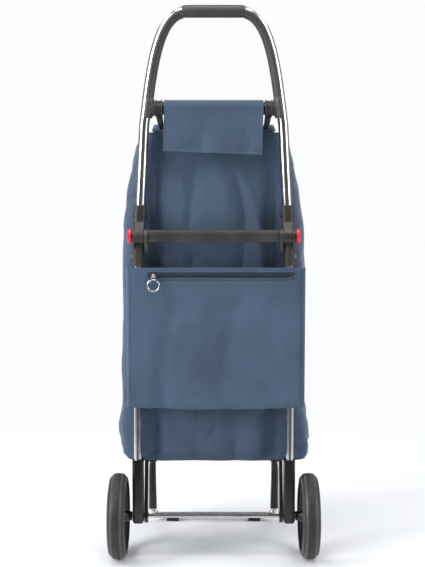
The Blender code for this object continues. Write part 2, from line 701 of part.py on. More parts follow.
def bag():
    back = FRAME_Y + BAG_BACK
    inset = CLOTH + GAP
    bag_panel("bag_back", lambda half, front: (-half + inset, back, half - inset, back + CLOTH), 0, None)
    bag_panel("bag_front", lambda half, front: (-half + inset, front - CLOTH, half - inset, front), 0, None)
    bag_panel("bag_side_left", lambda half, front: (-half, back, -half + CLOTH, front), 0, None)
    bag_panel("bag_side_right", lambda half, front: (half - CLOTH, back, half, front), 0, None)
    half, front = BAG_LEVELS[0][1], FRAME_Y + BAG_LEVELS[0][2]
    z = BAG_LEVELS[0][0]
    edge = CLOTH + 2 * GAP
    wide, y0, y1 = half - BASE_INSET, back + edge, front - edge
    cut_off = BASE_CORNER
    level = [(-wide, y0 + cut_off), (-wide + cut_off, y0), (wide - cut_off, y0), (wide, y0 + cut_off),
             (wide, y1 - cut_off), (wide - cut_off, y1), (-wide + cut_off, y1), (-wide, y1 - cut_off)]
    add("bag_base", rings_to_bmesh([[Vector((x, y, h)) for x, y in level] for h in (z, z + 4 * MM)]), BLACK)
    for side, label in sides():
        loop = box_bmesh((91 * MM, back + CLOTH + GAP, 786 * MM), (104 * MM, back + CLOTH + 3 * MM, 814 * MM))
        add(f"hook_loop_{label}", mirrored(loop, side), BLACK)


def pocket():
    """Rear pocket: a panel across the tubes with a gusset at each side that runs back to the bag."""
    low, high = POCKET_Z
    y0, y1, back = FRAME_Y + POCKET_Y[0], FRAME_Y + POCKET_Y[1], FRAME_Y + BAG_BACK - GAP
    wide, inner = POCKET_HALF, POCKET_HALF - 2 * MM
    outline = [(-wide, y0), (wide, y0), (wide, back), (inner, back), (inner, y1), (-inner, y1), (-inner, back),
               (-wide, back)]
    add("rear_pocket", rings_to_bmesh([[Vector((x, y, z)) for x, y in outline] for z in (low, high)]), FABRIC)


def zip_parts():
    face = FRAME_Y + POCKET_Y[0]
    x0, x1 = ZIP_X
    tape, teeth, end = 5.5 * MM, 1.6 * MM, 2 * MM
    strip = box_bmesh((x0, face - 1.1 * MM, ZIP_Z - tape), (x1, face - GAP, ZIP_Z + tape))
    add("zip_tape", strip, ZIP_BLUE)
    chain = box_bmesh((x0 + end, face - 2.9 * MM, ZIP_Z - teeth), (x1 - end, face - 1.4 * MM, ZIP_Z + teeth))
    add("zip_chain", chain, ZIP_BLUE)

    origin = Vector((SLIDER_X, face - 5 * MM, ZIP_Z))
    shape = ((-1, -0.55), (-0.4, -1), (0.7, -1), (1, -0.5), (1, 0.5), (0.7, 1), (-0.4, 1), (-1, 0.55))
    body = [Vector((SLIDER_X + a * 6.5 * MM, 0, ZIP_Z + b * 4.2 * MM)) for a, b in shape]
    rings = [[p + Vector((0, face - d, 0)) for p in body] for d in (5 * MM, 3.2 * MM)]
    slider = add("zip_slider", rings_to_bmesh(rings), NICKEL, origin)
    bail_y = face - 4.7 * MM
    bail_outline = arc(bail_y, ZIP_Z, BAIL[0], 90, 270, 8) + arc(bail_y, ZIP_Z, BAIL[1], 270, 90, 8)
    bail = plate_x(SLIDER_X - 1 * MM, SLIDER_X + 1 * MM, bail_outline)
    cut(slider, bail, "UNION")


def ring_link_centre():
    """The middle of the slider's bail, where the pull hangs."""
    return Vector((SLIDER_X, FRAME_Y + POCKET_Y[0] - 6.4 * MM, ZIP_Z - 0.2 * MM))


def torus_bmesh(centre, radius, wire, around=20, sides_count=6):
    """A closed wire ring that lies square to Y."""
    rows = []
    bm = bmesh.new()
    for k in range(around):
        a = 2 * math.pi * k / around
        row = []
        for j in range(sides_count):
            b = 2 * math.pi * j / sides_count
            out, off = radius + wire * math.cos(b), wire * math.sin(b)
            row.append(bm.verts.new(centre + Vector((out * math.cos(a), off, out * math.sin(a)))))
        rows.append(row)
    skin(bm, rows + [rows[0]])
    return bm


def pull_ring():
    """Swivel link through the slider's bail, and the round ring that hangs from it."""
    eye = ring_link_centre()
    middle = eye - Vector((0, 0, LINK_DROP + RING_R))
    pull = add("pull_ring", torus_bmesh(middle, RING_R, RING_WIRE), NICKEL, eye)
    low = -LINK_DROP + 0.5 * MM
    bm = bmesh.new()
    rows = []
    for x, z in ((-LINK_HALF, -0.4 * MM), (-LINK_HALF, low), (0, low - 1.7 * MM), (LINK_HALF, low),
                 (LINK_HALF, -0.4 * MM), (0, 0.3 * MM)):
        out = Vector((x, 0, z + LINK_DROP / 2)).normalized() * LINK_WIRE
        deep = Vector((0, LINK_WIRE, 0))
        angles = [2 * math.pi * j / 6 for j in range(6)]
        middle = eye + Vector((x, 0, z))
        rows.append([bm.verts.new(middle + out * math.cos(b) + deep * math.sin(b)) for b in angles])
    skin(bm, rows + [rows[0]])
    cut(pull, bm, "UNION")


def bag_lid():
    """Cloth lid: a crowned top, a neck that hinges at the rear rim and a skirt down the bag's front."""
    across = (-1, -0.6, 0, 0.6, 1)
    bm = bmesh.new()
    outer, inner = [], []
    for y, half, z in LID_TOP:
        outer.append([Vector((x * half, FRAME_Y + y, z - abs(x) ** 3 * LID_CROWN)) for x in across])
        inner.append([p - Vector((0, 0, LID_CLOTH)) for p in outer[-1]])
    for y, half, z in LID_SKIRT:
        outer.append([Vector((x * half, FRAME_Y + y, z)) for x in across])
        inner.append([p - Vector((0, LID_CLOTH, 0)) for p in outer[-1]])
    o = [[bm.verts.new(p) for p in row] for row in outer]
    i = [[bm.verts.new(p) for p in row] for row in inner]
    for rows, flip in ((o, False), (i, True)):
        for low, high in zip(rows, rows[1:]):
            for k in range(4):
                face = (low[k], low[k + 1], high[k + 1], high[k])
                bm.faces.new(face[::-1] if flip else face)
    for low_o, high_o, low_i, high_i in zip(o, o[1:], i, i[1:]):
        bm.faces.new((low_o[0], high_o[0], high_i[0], low_i[0]))
        bm.faces.new((low_o[4], low_i[4], high_i[4], high_o[4]))
    for k in range(4):
        bm.faces.new((o[0][k], i[0][k], i[0][k + 1], o[0][k + 1]))
        bm.faces.new((o[-1][k], o[-1][k + 1], i[-1][k + 1], i[-1][k]))
    add("bag_lid", bm, FABRIC, (0, FRAME_Y + LID_HINGE[0], LID_HINGE[1]))


# Front stand

def stand_pivot():
    return Vector((0, FRAME_Y + STAND_PIVOT[0], STAND_PIVOT[1]))


def stand_bar():
    """Bright tube along the ground with both ends bent up into the legs."""
    y = FRAME_Y + STAND_Y
    x, z = STAND_LEG_X - STAND_BEND, STAND_Z + STAND_BEND
    right = [Vector((STAND_LEG_X, y - 3.6 * MM, 45 * MM)), Vector((STAND_LEG_X, y - 1 * MM, z))]
    for k in range(1, 7):
        a = math.radians(90 * k / 6)
        right.append(Vector((x + STAND_BEND * math.cos(a), y, z - STAND_BEND * math.sin(a))))
    path = right + [Vector((-p.x, p.y, p.z)) for p in reversed(right)]
    section = oval_section(2 * STAND_BAR_R, 2 * STAND_BAR_R, 14)
    add("stand_bar", rings_to_bmesh(sweep_rings(path, section)), CHROME, stand_pivot())


def leg_centre(z):
    """Depth of the leg's axis at height z, on the line from the pivot to the ground bar."""
    py, pz = STAND_PIVOT
    return FRAME_Y + py + (STAND_Y - 3.2 * MM - py) * (pz - z) / (pz - STAND_Z)


def stand_leg(side, label):
    """Moulded leg, forked at the top round the bracket's lug and bored at the bottom for the bar's end."""
    rings = [oval(STAND_LEG_X, leg_centre(z), z, wide, deep, power=3.2) for z, wide, deep in LEG_LEVELS]
    pivot = stand_pivot()
    leg = add(f"stand_leg_{label}", mirrored(rings_to_bmesh(rings), side), BLACK, at(pivot, side))
    disc = rod_x(STAND_LEG_X - 8 * MM, STAND_LEG_X + 8 * MM, 9 * MM, pivot, 16)
    cut(leg, mirrored(disc, side), "UNION")
    slot_half = (BRACKET_X[1] - BRACKET_X[0]) / 2 + 0.5 * MM
    slot = box_bmesh((STAND_LEG_X - slot_half, pivot.y - 40 * MM, 139 * MM),
                     (STAND_LEG_X + slot_half, pivot.y + 40 * MM, 180 * MM))
    cut(leg, mirrored(slot, side))
    lug_room = rod_x(STAND_LEG_X - slot_half, STAND_LEG_X + slot_half, 12 * MM, pivot, 16)
    cut(leg, mirrored(lug_room, side))
    cut(leg, mirrored(rod_x(100 * MM, 150 * MM, STAND_PIN_R + GAP, pivot, 16), side))
    hole_path = [Vector((STAND_LEG_X, FRAME_Y + STAND_Y - 1 * MM, 20 * MM)),
                 Vector((STAND_LEG_X, FRAME_Y + STAND_Y - 1 * MM, STAND_Z + STAND_BEND)),
                 Vector((STAND_LEG_X, FRAME_Y + STAND_Y - 3.7 * MM, 46 * MM))]
    bore = 2 * STAND_BAR_R + 4 * GAP
    hole = rings_to_bmesh(sweep_rings(hole_path, oval_section(bore, bore, 14)))
    cut(leg, mirrored(hole, side))


def stand_pin(side, label):
    pivot = stand_pivot()
    inner, outer = 8.3 * MM, 9.5 * MM
    head = STAND_PIN_R + 1.6 * MM
    profile = [(-outer, 0.4 * MM), (-outer, head), (-inner, head), (-inner, STAND_PIN_R), (inner, STAND_PIN_R),
               (inner, head), (outer, head), (outer, 0.4 * MM)]
    pin = turned_x([(STAND_LEG_X + x, r) for x, r in profile], pivot, 12)
    add(f"stand_pin_{label}", mirrored(pin, side), CHROME, at(pivot, side))


def stand_pad(side, label):
    """Rubber foot clipped under the ground bar."""
    y = FRAME_Y + STAND_Y
    block = box_bmesh((PAD_X[0], y - PAD_HALF, 0), (PAD_X[1], y + PAD_HALF, STAND_Z - 0.5 * MM))
    pad = add(f"stand_pad_{label}", mirrored(block, side), BLACK, at(stand_pivot(), side))
    groove = rod_x(60 * MM, 110 * MM, STAND_BAR_R + GAP, (0, y, STAND_Z), 20)
    cut(pad, mirrored(groove, side))


# Assembly

def main():
    clear_scene()
    axle()
    rear_brace()
    handle_tube()
    grip_centre()
    top_bar()
    hanging_flap()
    bag()
    pocket()
    zip_parts()
    pull_ring()
    bag_lid()
    stand_bar()
    for side, label in sides():
        wheel(side, label)
        lower_tube(side, label)
        axle_socket(side, label)
        side_bracket(side, label)
        lower_knuckle(side, label)
        upper_knuckle(side, label)
        pivot_pin(side, label)
        fold_button(side, label)
        grip_side(side, label)
        grip_foot(side, label)
        bag_hook(side, label)
        stand_leg(side, label)
        stand_pin(side, label)
        stand_pad(side, label)
        lower, upper = LOWER_OVAL[0] / 2 + SLEEVE_WALL + 0.5 * MM, UPPER_OVAL[0] / 2 + 2.1 * MM
        rivet(f"lower_rivet_{label}", side, NICKEL, lower_axis(LOWER_RIVET_Z), LOWER_RIVET_Z, lower)
        rivet(f"upper_rivet_{label}", side, BLACK, leg_x(UPPER_RIVET_Z), UPPER_RIVET_Z, upper)


main()
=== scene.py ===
import math

import bmesh
import bpy
import numpy as np
from mathutils import Matrix, Vector, noise


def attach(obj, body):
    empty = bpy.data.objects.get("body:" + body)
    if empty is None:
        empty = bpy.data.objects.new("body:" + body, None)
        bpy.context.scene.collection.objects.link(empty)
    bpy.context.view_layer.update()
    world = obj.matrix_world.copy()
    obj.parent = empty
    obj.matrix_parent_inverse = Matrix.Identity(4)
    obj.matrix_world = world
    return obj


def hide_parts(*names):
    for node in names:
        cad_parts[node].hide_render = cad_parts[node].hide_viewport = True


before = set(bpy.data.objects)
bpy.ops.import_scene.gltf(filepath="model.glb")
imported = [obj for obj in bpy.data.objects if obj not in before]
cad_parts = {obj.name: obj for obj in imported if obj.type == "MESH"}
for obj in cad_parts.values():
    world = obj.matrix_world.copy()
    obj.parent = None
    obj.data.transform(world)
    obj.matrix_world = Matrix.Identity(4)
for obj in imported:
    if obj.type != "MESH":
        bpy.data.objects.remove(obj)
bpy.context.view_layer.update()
mm = 0.001
frameY = -0.079  # the tubes and the axle stand in this plane
scene = bpy.context.scene


def lerp(a, b, t):
    return a + (b - a) * t


def smooth(t):
    t = min(1.0, max(0.0, t))
    return t * t * (3 - 2 * t)


def turnSteps(count):
    return [2 * math.pi * k / count for k in range(count)]


def curveThrough(table, x):
    # smooth value between the rows (x, value) of a short table
    xs = [row[0] for row in table]
    if x <= xs[0]:
        return table[0][1]
    for (x0, v0), (x1, v1) in zip(table, table[1:]):
        if x <= x1:
            return lerp(v0, v1, smooth((x - x0) / (x1 - x0)) * 0.5 + (x - x0) / (x1 - x0) * 0.5)
    return table[-1][1]


def makeObject(name, verts, faces, mat, body, slotName, replaced=(), smoothAngle=40):
    mesh = bpy.data.meshes.new(name)
    mesh.from_pydata([tuple(v) for v in verts], [], faces)
    mesh.validate()
    bm = bmesh.new()
    bm.from_mesh(mesh)
    bmesh.ops.recalc_face_normals(bm, faces=bm.faces)
    bm.to_mesh(mesh)
    bm.free()
    mesh.shade_smooth()
    if smoothAngle:
        mesh.set_sharp_from_angle(angle=math.radians(smoothAngle))
    piece = bpy.data.objects.new(name, mesh)
    scene.collection.objects.link(piece)
    mesh.materials.append(mat)
    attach(piece, body)
    if replaced:
        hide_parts(*replaced)
    return piece


def thicken(piece, thickness, offset=-1):
    skin = piece.modifiers.new("cloth thickness", "SOLIDIFY")
    skin.thickness = thickness
    skin.offset = offset


def loft(rings, closed=True, caps=True):
    # verts and faces of a skin over equal rings
    verts = [p for ring in rings for p in ring]
    n = len(rings[0])
    faces = []
    for r in range(len(rings) - 1):
        for k in range(n if closed else n - 1):
            a, b = r * n + k, r * n + (k + 1) % n
            faces.append((a, b, b + n, a + n))
    if caps and closed:
        faces.append(tuple(range(n - 1, -1, -1)))
        faces.append(tuple(range((len(rings) - 1) * n, len(rings) * n)))
    return verts, faces


def gather(parts):
    # several (verts, faces) as one
    verts, faces = [], []
    for v, f in parts:
        start = len(verts)
        verts += list(v)
        faces += [tuple(i + start for i in face) for face in f]
    return verts, faces


def mirrorX(part, side):
    verts, faces = part
    if side > 0:
        return part
    return [Vector((-v[0], v[1], v[2])) for v in verts], [tuple(reversed(f)) for f in faces]


def latheX(profile, centre, segments=72):
    # a profile of (x, radius) turned about the line along X through centre
    verts = []
    for a in turnSteps(segments):
        verts += [Vector((x, centre[1] + r * math.cos(a), centre[2] + r * math.sin(a))) for x, r in profile]
    n = len(profile)
    faces = []
    for s in range(segments):
        for k in range(n):
            a, b = s * n + k, s * n + (k + 1) % n
            c, d = ((s + 1) % segments) * n + (k + 1) % n, ((s + 1) % segments) * n + k
            faces.append((a, b, c, d))
    return verts, faces


def roundBox(low, high, edge):
    # a box with rounded edges
    low, high = Vector(low), Vector(high)
    bm = bmesh.new()
    middle = Matrix.Translation((low + high) / 2)
    bmesh.ops.create_cube(bm, size=1, matrix=middle @ Matrix.Diagonal((*(high - low), 1)))
    bmesh.ops.bevel(bm, geom=bm.edges[:], offset=edge, segments=3, profile=0.5, affect="EDGES")
    verts = [v.co.copy() for v in bm.verts]
    index = {v: i for i, v in enumerate(bm.verts)}
    faces = [tuple(index[v] for v in f.verts) for f in bm.faces]
    bm.free()
    return verts, faces


def sweep(path, section):
    # rings of a section (inward, across) along a path that runs from +X over the top to -X
    rings = []
    for k, p in enumerate(path):
        ahead = (path[min(k + 1, len(path) - 1)] - path[max(k - 1, 0)]).normalized()
        across = Vector((0, 1, 0))
        across = (across - ahead * across.dot(ahead)).normalized()
        inward = ahead.cross(across).normalized()
        rings.append([p + inward * u + across * v for u, v in section])
    return rings


def capsule(a, b, radius, sides=6):
    # one stitch or zip tooth, pinched at both ends
    a, b = Vector(a), Vector(b)
    along = (b - a).normalized()
    other = Vector((0, 0, 1)) if abs(along.z) < 0.8 else Vector((1, 0, 0))
    u = along.cross(other).normalized()
    w = along.cross(u).normalized()
    rings = []
    for t, r in ((0.0, 0.35), (0.18, 0.9), (0.5, 1.0), (0.82, 0.9), (1.0, 0.35)):
        centre = a.lerp(b, t)
        rings.append([centre + (u * math.cos(q) + w * math.sin(q)) * radius * r
                      for q in turnSteps(sides)])
    return loft(rings)


def stitchRow(points, stitch=3.0 * mm, gap=1.2 * mm, radius=0.35 * mm):
    # a dashed row of stitches that follows a polyline
    parts = []
    pitch = stitch + gap
    lengths = [(b - a).length for a, b in zip(points, points[1:])]
    total = sum(lengths)

    def at(s):
        for a, b, l in zip(points, points[1:], lengths):
            if s <= l:
                return a.lerp(b, s / l)
            s -= l
        return points[-1]

    count = int(total / pitch)
    for k in range(count):
        parts.append(capsule(at(k * pitch), at(k * pitch + stitch), radius))
    return parts


def newFinish(name, roughness=0.5, metallic=0.0, **sockets):
    mat = bpy.data.materials.new(name)
    mat.use_nodes = True
    shader = mat.node_tree.nodes["Principled BSDF"]
    shader.inputs["Roughness"].default_value = roughness
    shader.inputs["Metallic"].default_value = metallic
    for socket, value in sockets.items():
        shader.inputs[socket].default_value = value
    return mat, shader


def put(mat, kind, **values):
    made = mat.node_tree.nodes.new(kind)
    for key, value in values.items():
        if hasattr(made, key):
            setattr(made, key, value)
        else:
            made.inputs[key.replace("_", " ")].default_value = value
    return made


def join(mat, source, target):
    mat.node_tree.links.new(source, target)


def place(mat, scaleXyz=(1, 1, 1)):
    # object coordinates in metres, stretched as asked
    coords = put(mat, "ShaderNodeTexCoord")
    mapping = put(mat, "ShaderNodeMapping")
    mapping.inputs["Scale"].default_value = scaleXyz
    join(mat, coords.outputs["Object"], mapping.inputs["Vector"])
    return mapping.outputs["Vector"]


def noiseOf(mat, vector, scale, detail=3.0, roughness=0.55):
    made = put(mat, "ShaderNodeTexNoise", Scale=scale, Detail=detail, Roughness=roughness)
    join(mat, vector, made.inputs["Vector"])
    return made.outputs["Fac"]


def ramp(mat, fac, stops):
    made = put(mat, "ShaderNodeValToRGB")
    elements = made.color_ramp.elements
    elements[0].position, elements[0].color = stops[0][0], (*stops[0][1], 1)
    elements[1].position, elements[1].color = stops[-1][0], (*stops[-1][1], 1)
    for position, colour in stops[1:-1]:
        extra = elements.new(position)
        extra.color = (*colour, 1)
    join(mat, fac, made.inputs["Fac"])
    return made.outputs["Color"]


def mapTo(mat, fac, low, high, fromLow=0.0, fromHigh=1.0):
    made = put(mat, "ShaderNodeMapRange")
    for name, value in (("From Min", fromLow), ("From Max", fromHigh), ("To Min", low), ("To Max", high)):
        made.inputs[name].default_value = value
    join(mat, fac, made.inputs["Value"])
    return made.outputs["Result"]


def maths(mat, operation, a, b=None):
    made = put(mat, "ShaderNodeMath")
    made.operation = operation
    for socket, value in ((made.inputs[0], a), (made.inputs[1], b)):
        if value is None:
            continue
        if isinstance(value, (int, float)):
            socket.default_value = value
        else:
            join(mat, value, socket)
    return made.outputs[0]


def blendColour(mat, fac, a, b, mode="MIX"):
    made = put(mat, "ShaderNodeMix")
    made.data_type = "RGBA"
    made.blend_type = mode
    for socket, value in ((made.inputs[0], fac), (made.inputs[6], a), (made.inputs[7], b)):
        if isinstance(value, (int, float)):
            socket.default_value = value
        elif isinstance(value, tuple):
            socket.default_value = (*value, 1)
        else:
            join(mat, value, socket)
    return made.outputs[2]


def bumpOf(mat, height, strength, distance, under=None):
    made = put(mat, "ShaderNodeBump")
    made.inputs["Strength"].default_value = strength
    made.inputs["Distance"].default_value = distance
    join(mat, height, made.inputs["Height"])
    if under is not None:
        join(mat, under, made.inputs["Normal"])
    return made.outputs["Normal"]


def wovenCloth(name, tone, thread=1.1 * mm, grain=1.0, sheen=0.25, rough=(0.62, 0.82), crease=0.5):
    # plain weave: warp and weft threads pass over each other; a heather of lighter yarn runs through it, and
    # the low places between the crossings are painted darker (painted shade)
    mat, shader = newFinish(name, 0.7, **{"Sheen Weight": sheen, "Sheen Roughness": 0.45})
    shader.inputs["Specular IOR Level"].default_value = 0.35
    coords = put(mat, "ShaderNodeTexCoord")
    parts = put(mat, "ShaderNodeSeparateXYZ")
    join(mat, coords.outputs["Object"], parts.inputs["Vector"])
    turns = 2 * math.pi / (2 * thread)
    across = maths(mat, "ADD", parts.outputs["X"], parts.outputs["Y"])
    up = maths(mat, "ADD", parts.outputs["Z"], maths(mat, "MULTIPLY", parts.outputs["Y"], 0.31))
    warp = maths(mat, "SINE", maths(mat, "MULTIPLY", across, turns))
    weft = maths(mat, "SINE", maths(mat, "MULTIPLY", up, turns))
    weave = maths(mat, "MULTIPLY", warp, weft)
    height = mapTo(mat, weave, 0.0, 1.0, -1.0, 1.0)

    yarnAcross = noiseOf(mat, place(mat, (1100, 1100, 60)), 1.0, 2.0)
    yarnUp = noiseOf(mat, place(mat, (60, 60, 1100)), 1.0, 2.0)
    yarn = mapTo(mat, maths(mat, "ADD", yarnAcross, yarnUp), -0.5, 0.5, 0.6, 1.4)
    broad = noiseOf(mat, place(mat), 7.0, 4.0)
    dark = tuple(c * 0.72 for c in tone)
    light = tuple(min(1.0, c * 1.22) for c in tone)
    base = ramp(mat, broad, [(0.3, dark), (0.55, tone), (0.75, light)])
    threadTone = mapTo(mat, yarn, 1 - 0.16 * grain, 1 + 0.16 * grain, -0.5, 0.5)
    # painted shade: the low places of the weave are painted up to 14% darker, on top of the random yarn tone
    yarnToneAndWeaveShade = maths(mat, "MULTIPLY", threadTone, mapTo(mat, height, 0.86, 1.08))
    grey = put(mat, "ShaderNodeCombineColor")
    for k in range(3):
        join(mat, yarnToneAndWeaveShade, grey.inputs[k])
    colour = blendColour(mat, 1.0, base, grey.outputs["Color"], "MULTIPLY")
    join(mat, colour, shader.inputs["Base Color"])
    join(mat, mapTo(mat, broad, rough[0], rough[1], 0.3, 0.7), shader.inputs["Roughness"])

    creased = noiseOf(mat, place(mat, (1, 1, 0.55)), 26.0, 4.0, 0.6)
    soft = bumpOf(mat, creased, crease, 0.004)
    join(mat, bumpOf(mat, height, 0.35, 0.0004, soft), shader.inputs["Normal"])
    return mat


def polishedMetal(name, tone, rough, streak=0.06, alongZ=True):
    # drawn and polished: fine lines run along the tube, with faint handling marks
    mat, shader = newFinish(name, rough, 1.0)
    stretch = (900, 900, 9) if alongZ else (9, 900, 900)
    lines = noiseOf(mat, place(mat, stretch), 1.0, 3.0)
    marks = noiseOf(mat, place(mat), 38.0, 5.0, 0.65)
    both = maths(mat, "ADD", mapTo(mat, lines, -streak, streak), mapTo(mat, marks, -0.03, 0.07, 0.35, 0.75))
    join(mat, maths(mat, "ADD", both, rough), shader.inputs["Roughness"])
    dull = tuple(c * 0.86 for c in tone)
    join(mat, ramp(mat, marks, [(0.35, dull), (0.62, tone)]), shader.inputs["Base Color"])
    join(mat, bumpOf(mat, lines, 0.06, 0.0002), shader.inputs["Normal"])
    return mat


def mouldedPlastic(name, tone, rough=0.45, grain=0.25, edgeWearAndHighlight=0.5, coat=0.0):
    # injection-moulded plastic with a fine spark-eroded grain and lighter edges: partly rubbed wear, partly a
    # painted highlight along the sharp edges
    mat, shader = newFinish(name, rough, **{"Coat Weight": coat, "Coat Roughness": 0.25})
    fine = noiseOf(mat, place(mat), 1500.0, 2.0)
    cloud = noiseOf(mat, place(mat), 22.0, 4.0)
    geometry = put(mat, "ShaderNodeNewGeometry")
    # painted highlight and wear: the sharp edges are painted lighter, as strongly as asked
    edge = mapTo(mat, geometry.outputs["Pointiness"], 0.0, edgeWearAndHighlight, 0.51, 0.60)
    edge = maths(mat, "MULTIPLY", edge, mapTo(mat, cloud, 0.3, 1.0, 0.35, 0.65))
    dark = tuple(c * 0.82 for c in tone)
    wornAndLitEdgeTone = tuple(min(1.0, c * 1.9 + 0.015) for c in tone)
    base = ramp(mat, cloud, [(0.3, dark), (0.7, tone)])
    join(mat, blendColour(mat, edge, base, wornAndLitEdgeTone), shader.inputs["Base Color"])
    join(mat, mapTo(mat, cloud, rough - 0.07, rough + 0.08, 0.3, 0.7), shader.inputs["Roughness"])
    join(mat, bumpOf(mat, fine, grain, 0.00015), shader.inputs["Normal"])
    return mat


def foamRubber(name, tone):
    # skinned foam: matt, with tiny pores and patches of dust
    mat, shader = newFinish(name, 0.7)
    pores = noiseOf(mat, place(mat), 620.0, 4.0, 0.7)
    dust = noiseOf(mat, place(mat), 30.0, 5.0, 0.6)
    dusty = tuple(c * 1.8 + 0.01 for c in tone)
    join(mat, ramp(mat, dust, [(0.35, tone), (0.72, dusty)]), shader.inputs["Base Color"])
    join(mat, mapTo(mat, dust, 0.48, 0.72, 0.3, 0.7), shader.inputs["Roughness"])
    join(mat, bumpOf(mat, pores, 0.3, 0.0003), shader.inputs["Normal"])
    return mat


tones = {
    "cloth": (0.050, 0.082, 0.138),
    "thread": (0.05, 0.075, 0.13),
    "zip": (0.022, 0.03, 0.055),
    "grey": (0.034, 0.031, 0.029),
    "grip": (0.052, 0.051, 0.055),
    "black": (0.004, 0.004, 0.0045),
    "tyre": (0.009, 0.009, 0.010),
    # painted highlight: the tread tone is far lighter than the tyre, standing in for the glints on the block
    # tops
    "tread": (0.085, 0.084, 0.086),
    "red": (0.72, 0.020, 0.030),
    "alu": (0.70, 0.685, 0.68),
    "steel": (0.62, 0.60, 0.60),
    "nickel": (0.84, 0.82, 0.78),
}
blueCloth = wovenCloth("blue bag cloth", tones["cloth"])
# painted shade: the flap is the same bag cloth painted 7% darker
shadedFlapCloth = wovenCloth("blue flap cloth", tuple(c * 0.93 for c in tones["cloth"]), crease=0.25)
# painted light: the pocket, its top hem and the zip welts are the same bag cloth painted 8% lighter
litPocketCloth = wovenCloth("blue pocket cloth", tuple(c * 1.08 for c in tones["cloth"]), crease=0.35)
sewingThread = wovenCloth("navy sewing thread", tones["thread"], 0.5 * mm, sheen=0.1)
zipTapeCloth = wovenCloth("navy zip tape", tones["zip"], 0.7 * mm, sheen=0.1)
webbingBlack = wovenCloth("black webbing", tones["black"], 1.4 * mm, sheen=0.1)
aluTube = polishedMetal("polished aluminium tube", tones["alu"], 0.17)
steelBar = polishedMetal("bright steel bar", tones["steel"], 0.16, alongZ=False)
nickelPlate = polishedMetal("nickel plate", tones["nickel"], 0.14, 0.02)
greyJoint = mouldedPlastic("warm grey joint plastic", tones["grey"], 0.42)
gripRubber = mouldedPlastic("soft grey grip", tones["grip"], 0.5, 0.35, 0.25)
# painted highlight and wear: the black plastics get the strongest lighter edges, and the rim is a lighter
# copy of the black plastic, painted light
blackPlastic = mouldedPlastic("black moulded plastic", tones["black"], 0.2, 0.08, 0.8)
rimPlastic = mouldedPlastic("dark rim plastic", tuple(c * 1.6 for c in tones["black"]), 0.38, 0.15, 0.8)
padRubber = foamRubber("black pad rubber", tones["black"])
foamTyre = foamRubber("dark foam tyre", tones["tyre"])
# painted highlight: the tread blocks are painted much lighter than the tyre to stand in for their shine
highlightedTread = mouldedPlastic("tread tops with painted highlight", tones["tread"], 0.36, 0.3, 0.4)
redPlastic = mouldedPlastic("red button plastic", tones["red"], 0.35, 0.1, 0.2, 0.3)
print("finishes made")

cadFinish = {
    "axle": steelBar, "rear_brace": greyJoint, "top_bar": blackPlastic, "bag_base": blackPlastic,
    "zip_slider": nickelPlate,
}
for side in ("left", "right"):
    cadFinish.update({
        f"lower_tube_{side}": aluTube, f"axle_socket_{side}": blackPlastic,
        f"side_bracket_{side}": blackPlastic, f"lower_knuckle_{side}": greyJoint,
        f"upper_knuckle_{side}": greyJoint, f"pivot_pin_{side}": steelBar,
        f"fold_button_{side}": redPlastic, f"bag_hook_{side}": greyJoint,
        f"stand_leg_{side}": blackPlastic, f"stand_pin_{side}": steelBar,
        f"stand_pad_{side}": padRubber, f"lower_rivet_{side}": nickelPlate,
        f"upper_rivet_{side}": blackPlastic, f"hub_cap_{side}": blackPlastic,
        f"hook_loop_{side}": webbingBlack,
    })
for name, finish in cadFinish.items():
    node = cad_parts[name]
    for k in range(max(1, len(node.material_slots))):
        node.material_slots[k].material = finish
moulded = {
    "edge": 0.7 * mm, "skin": 0.75 * mm, "easing": 10,
    "rounded": ("axle_socket", "rear_brace", "lower_knuckle", "fold_button", "stand_leg", "stand_pad",
                "hub_cap", "side_bracket", "bag_base"),
    "melted": "upper_knuckle",  # a moulding with generous radii all over
}
for name in cadFinish:
    if name.startswith(moulded["rounded"]):
        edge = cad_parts[name].modifiers.new("softened edges", "BEVEL")
        edge.width, edge.segments = moulded["edge"], 2
        edge.limit_method, edge.angle_limit = "ANGLE", math.radians(40)
    if name.startswith(moulded["melted"]):
        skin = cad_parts[name].modifiers.new("even skin", "REMESH")
        skin.mode, skin.voxel_size, skin.use_smooth_shade = "VOXEL", moulded["skin"], True
        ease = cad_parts[name].modifiers.new("eased edges", "SMOOTH")
        ease.factor, ease.iterations = 0.5, moulded["easing"]
print("CAD nodes finished:", len(cadFinish))

studio = {
    "lens": 69.2, "distance": 2.05, "height": 0.73, "tilt": 84.5, "sideways": -0.0023,
    "floor": (0.86, 0.87, 0.885), "worldSeen": (0.98, 0.985, 1.0), "worldLight": (0.75, 0.77, 0.80),
}


def fadeIntoCove(mat, shader):
    # seen directly the floor turns white with distance; mirrored in the tubes it turns dark behind the viewer
    middle = put(mat, "ShaderNodeSeparateXYZ")
    join(mat, place(mat), middle.inputs["Vector"])
    distance = put(mat, "ShaderNodeVectorMath")
    distance.operation = "LENGTH"
    join(mat, place(mat, (0.8, 1, 1)), distance.inputs[0])
    path = put(mat, "ShaderNodeLightPath")
    far = mapTo(mat, distance.outputs["Value"], 0.0, 1.0, 0.35, 1.15)
    cove = put(mat, "ShaderNodeEmission")
    cove.inputs["Color"].default_value = (*studio["worldSeen"], 1)
    first = put(mat, "ShaderNodeMixShader")
    join(mat, maths(mat, "MULTIPLY", far, path.outputs["Is Camera Ray"]), first.inputs["Fac"])
    join(mat, shader.outputs["BSDF"], first.inputs[1])
    join(mat, cove.outputs["Emission"], first.inputs[2])
    dim = put(mat, "ShaderNodeEmission", Strength=0.11)
    behind = mapTo(mat, middle.outputs["Y"], 1.0, 0.0, -0.7, -0.28)
    second = put(mat, "ShaderNodeMixShader")
    join(mat, maths(mat, "MULTIPLY", behind, path.outputs["Is Glossy Ray"]), second.inputs["Fac"])
    join(mat, first.outputs["Shader"], second.inputs[1])
    join(mat, dim.outputs["Emission"], second.inputs[2])
    join(mat, second.outputs["Shader"], mat.node_tree.nodes["Material Output"].inputs["Surface"])


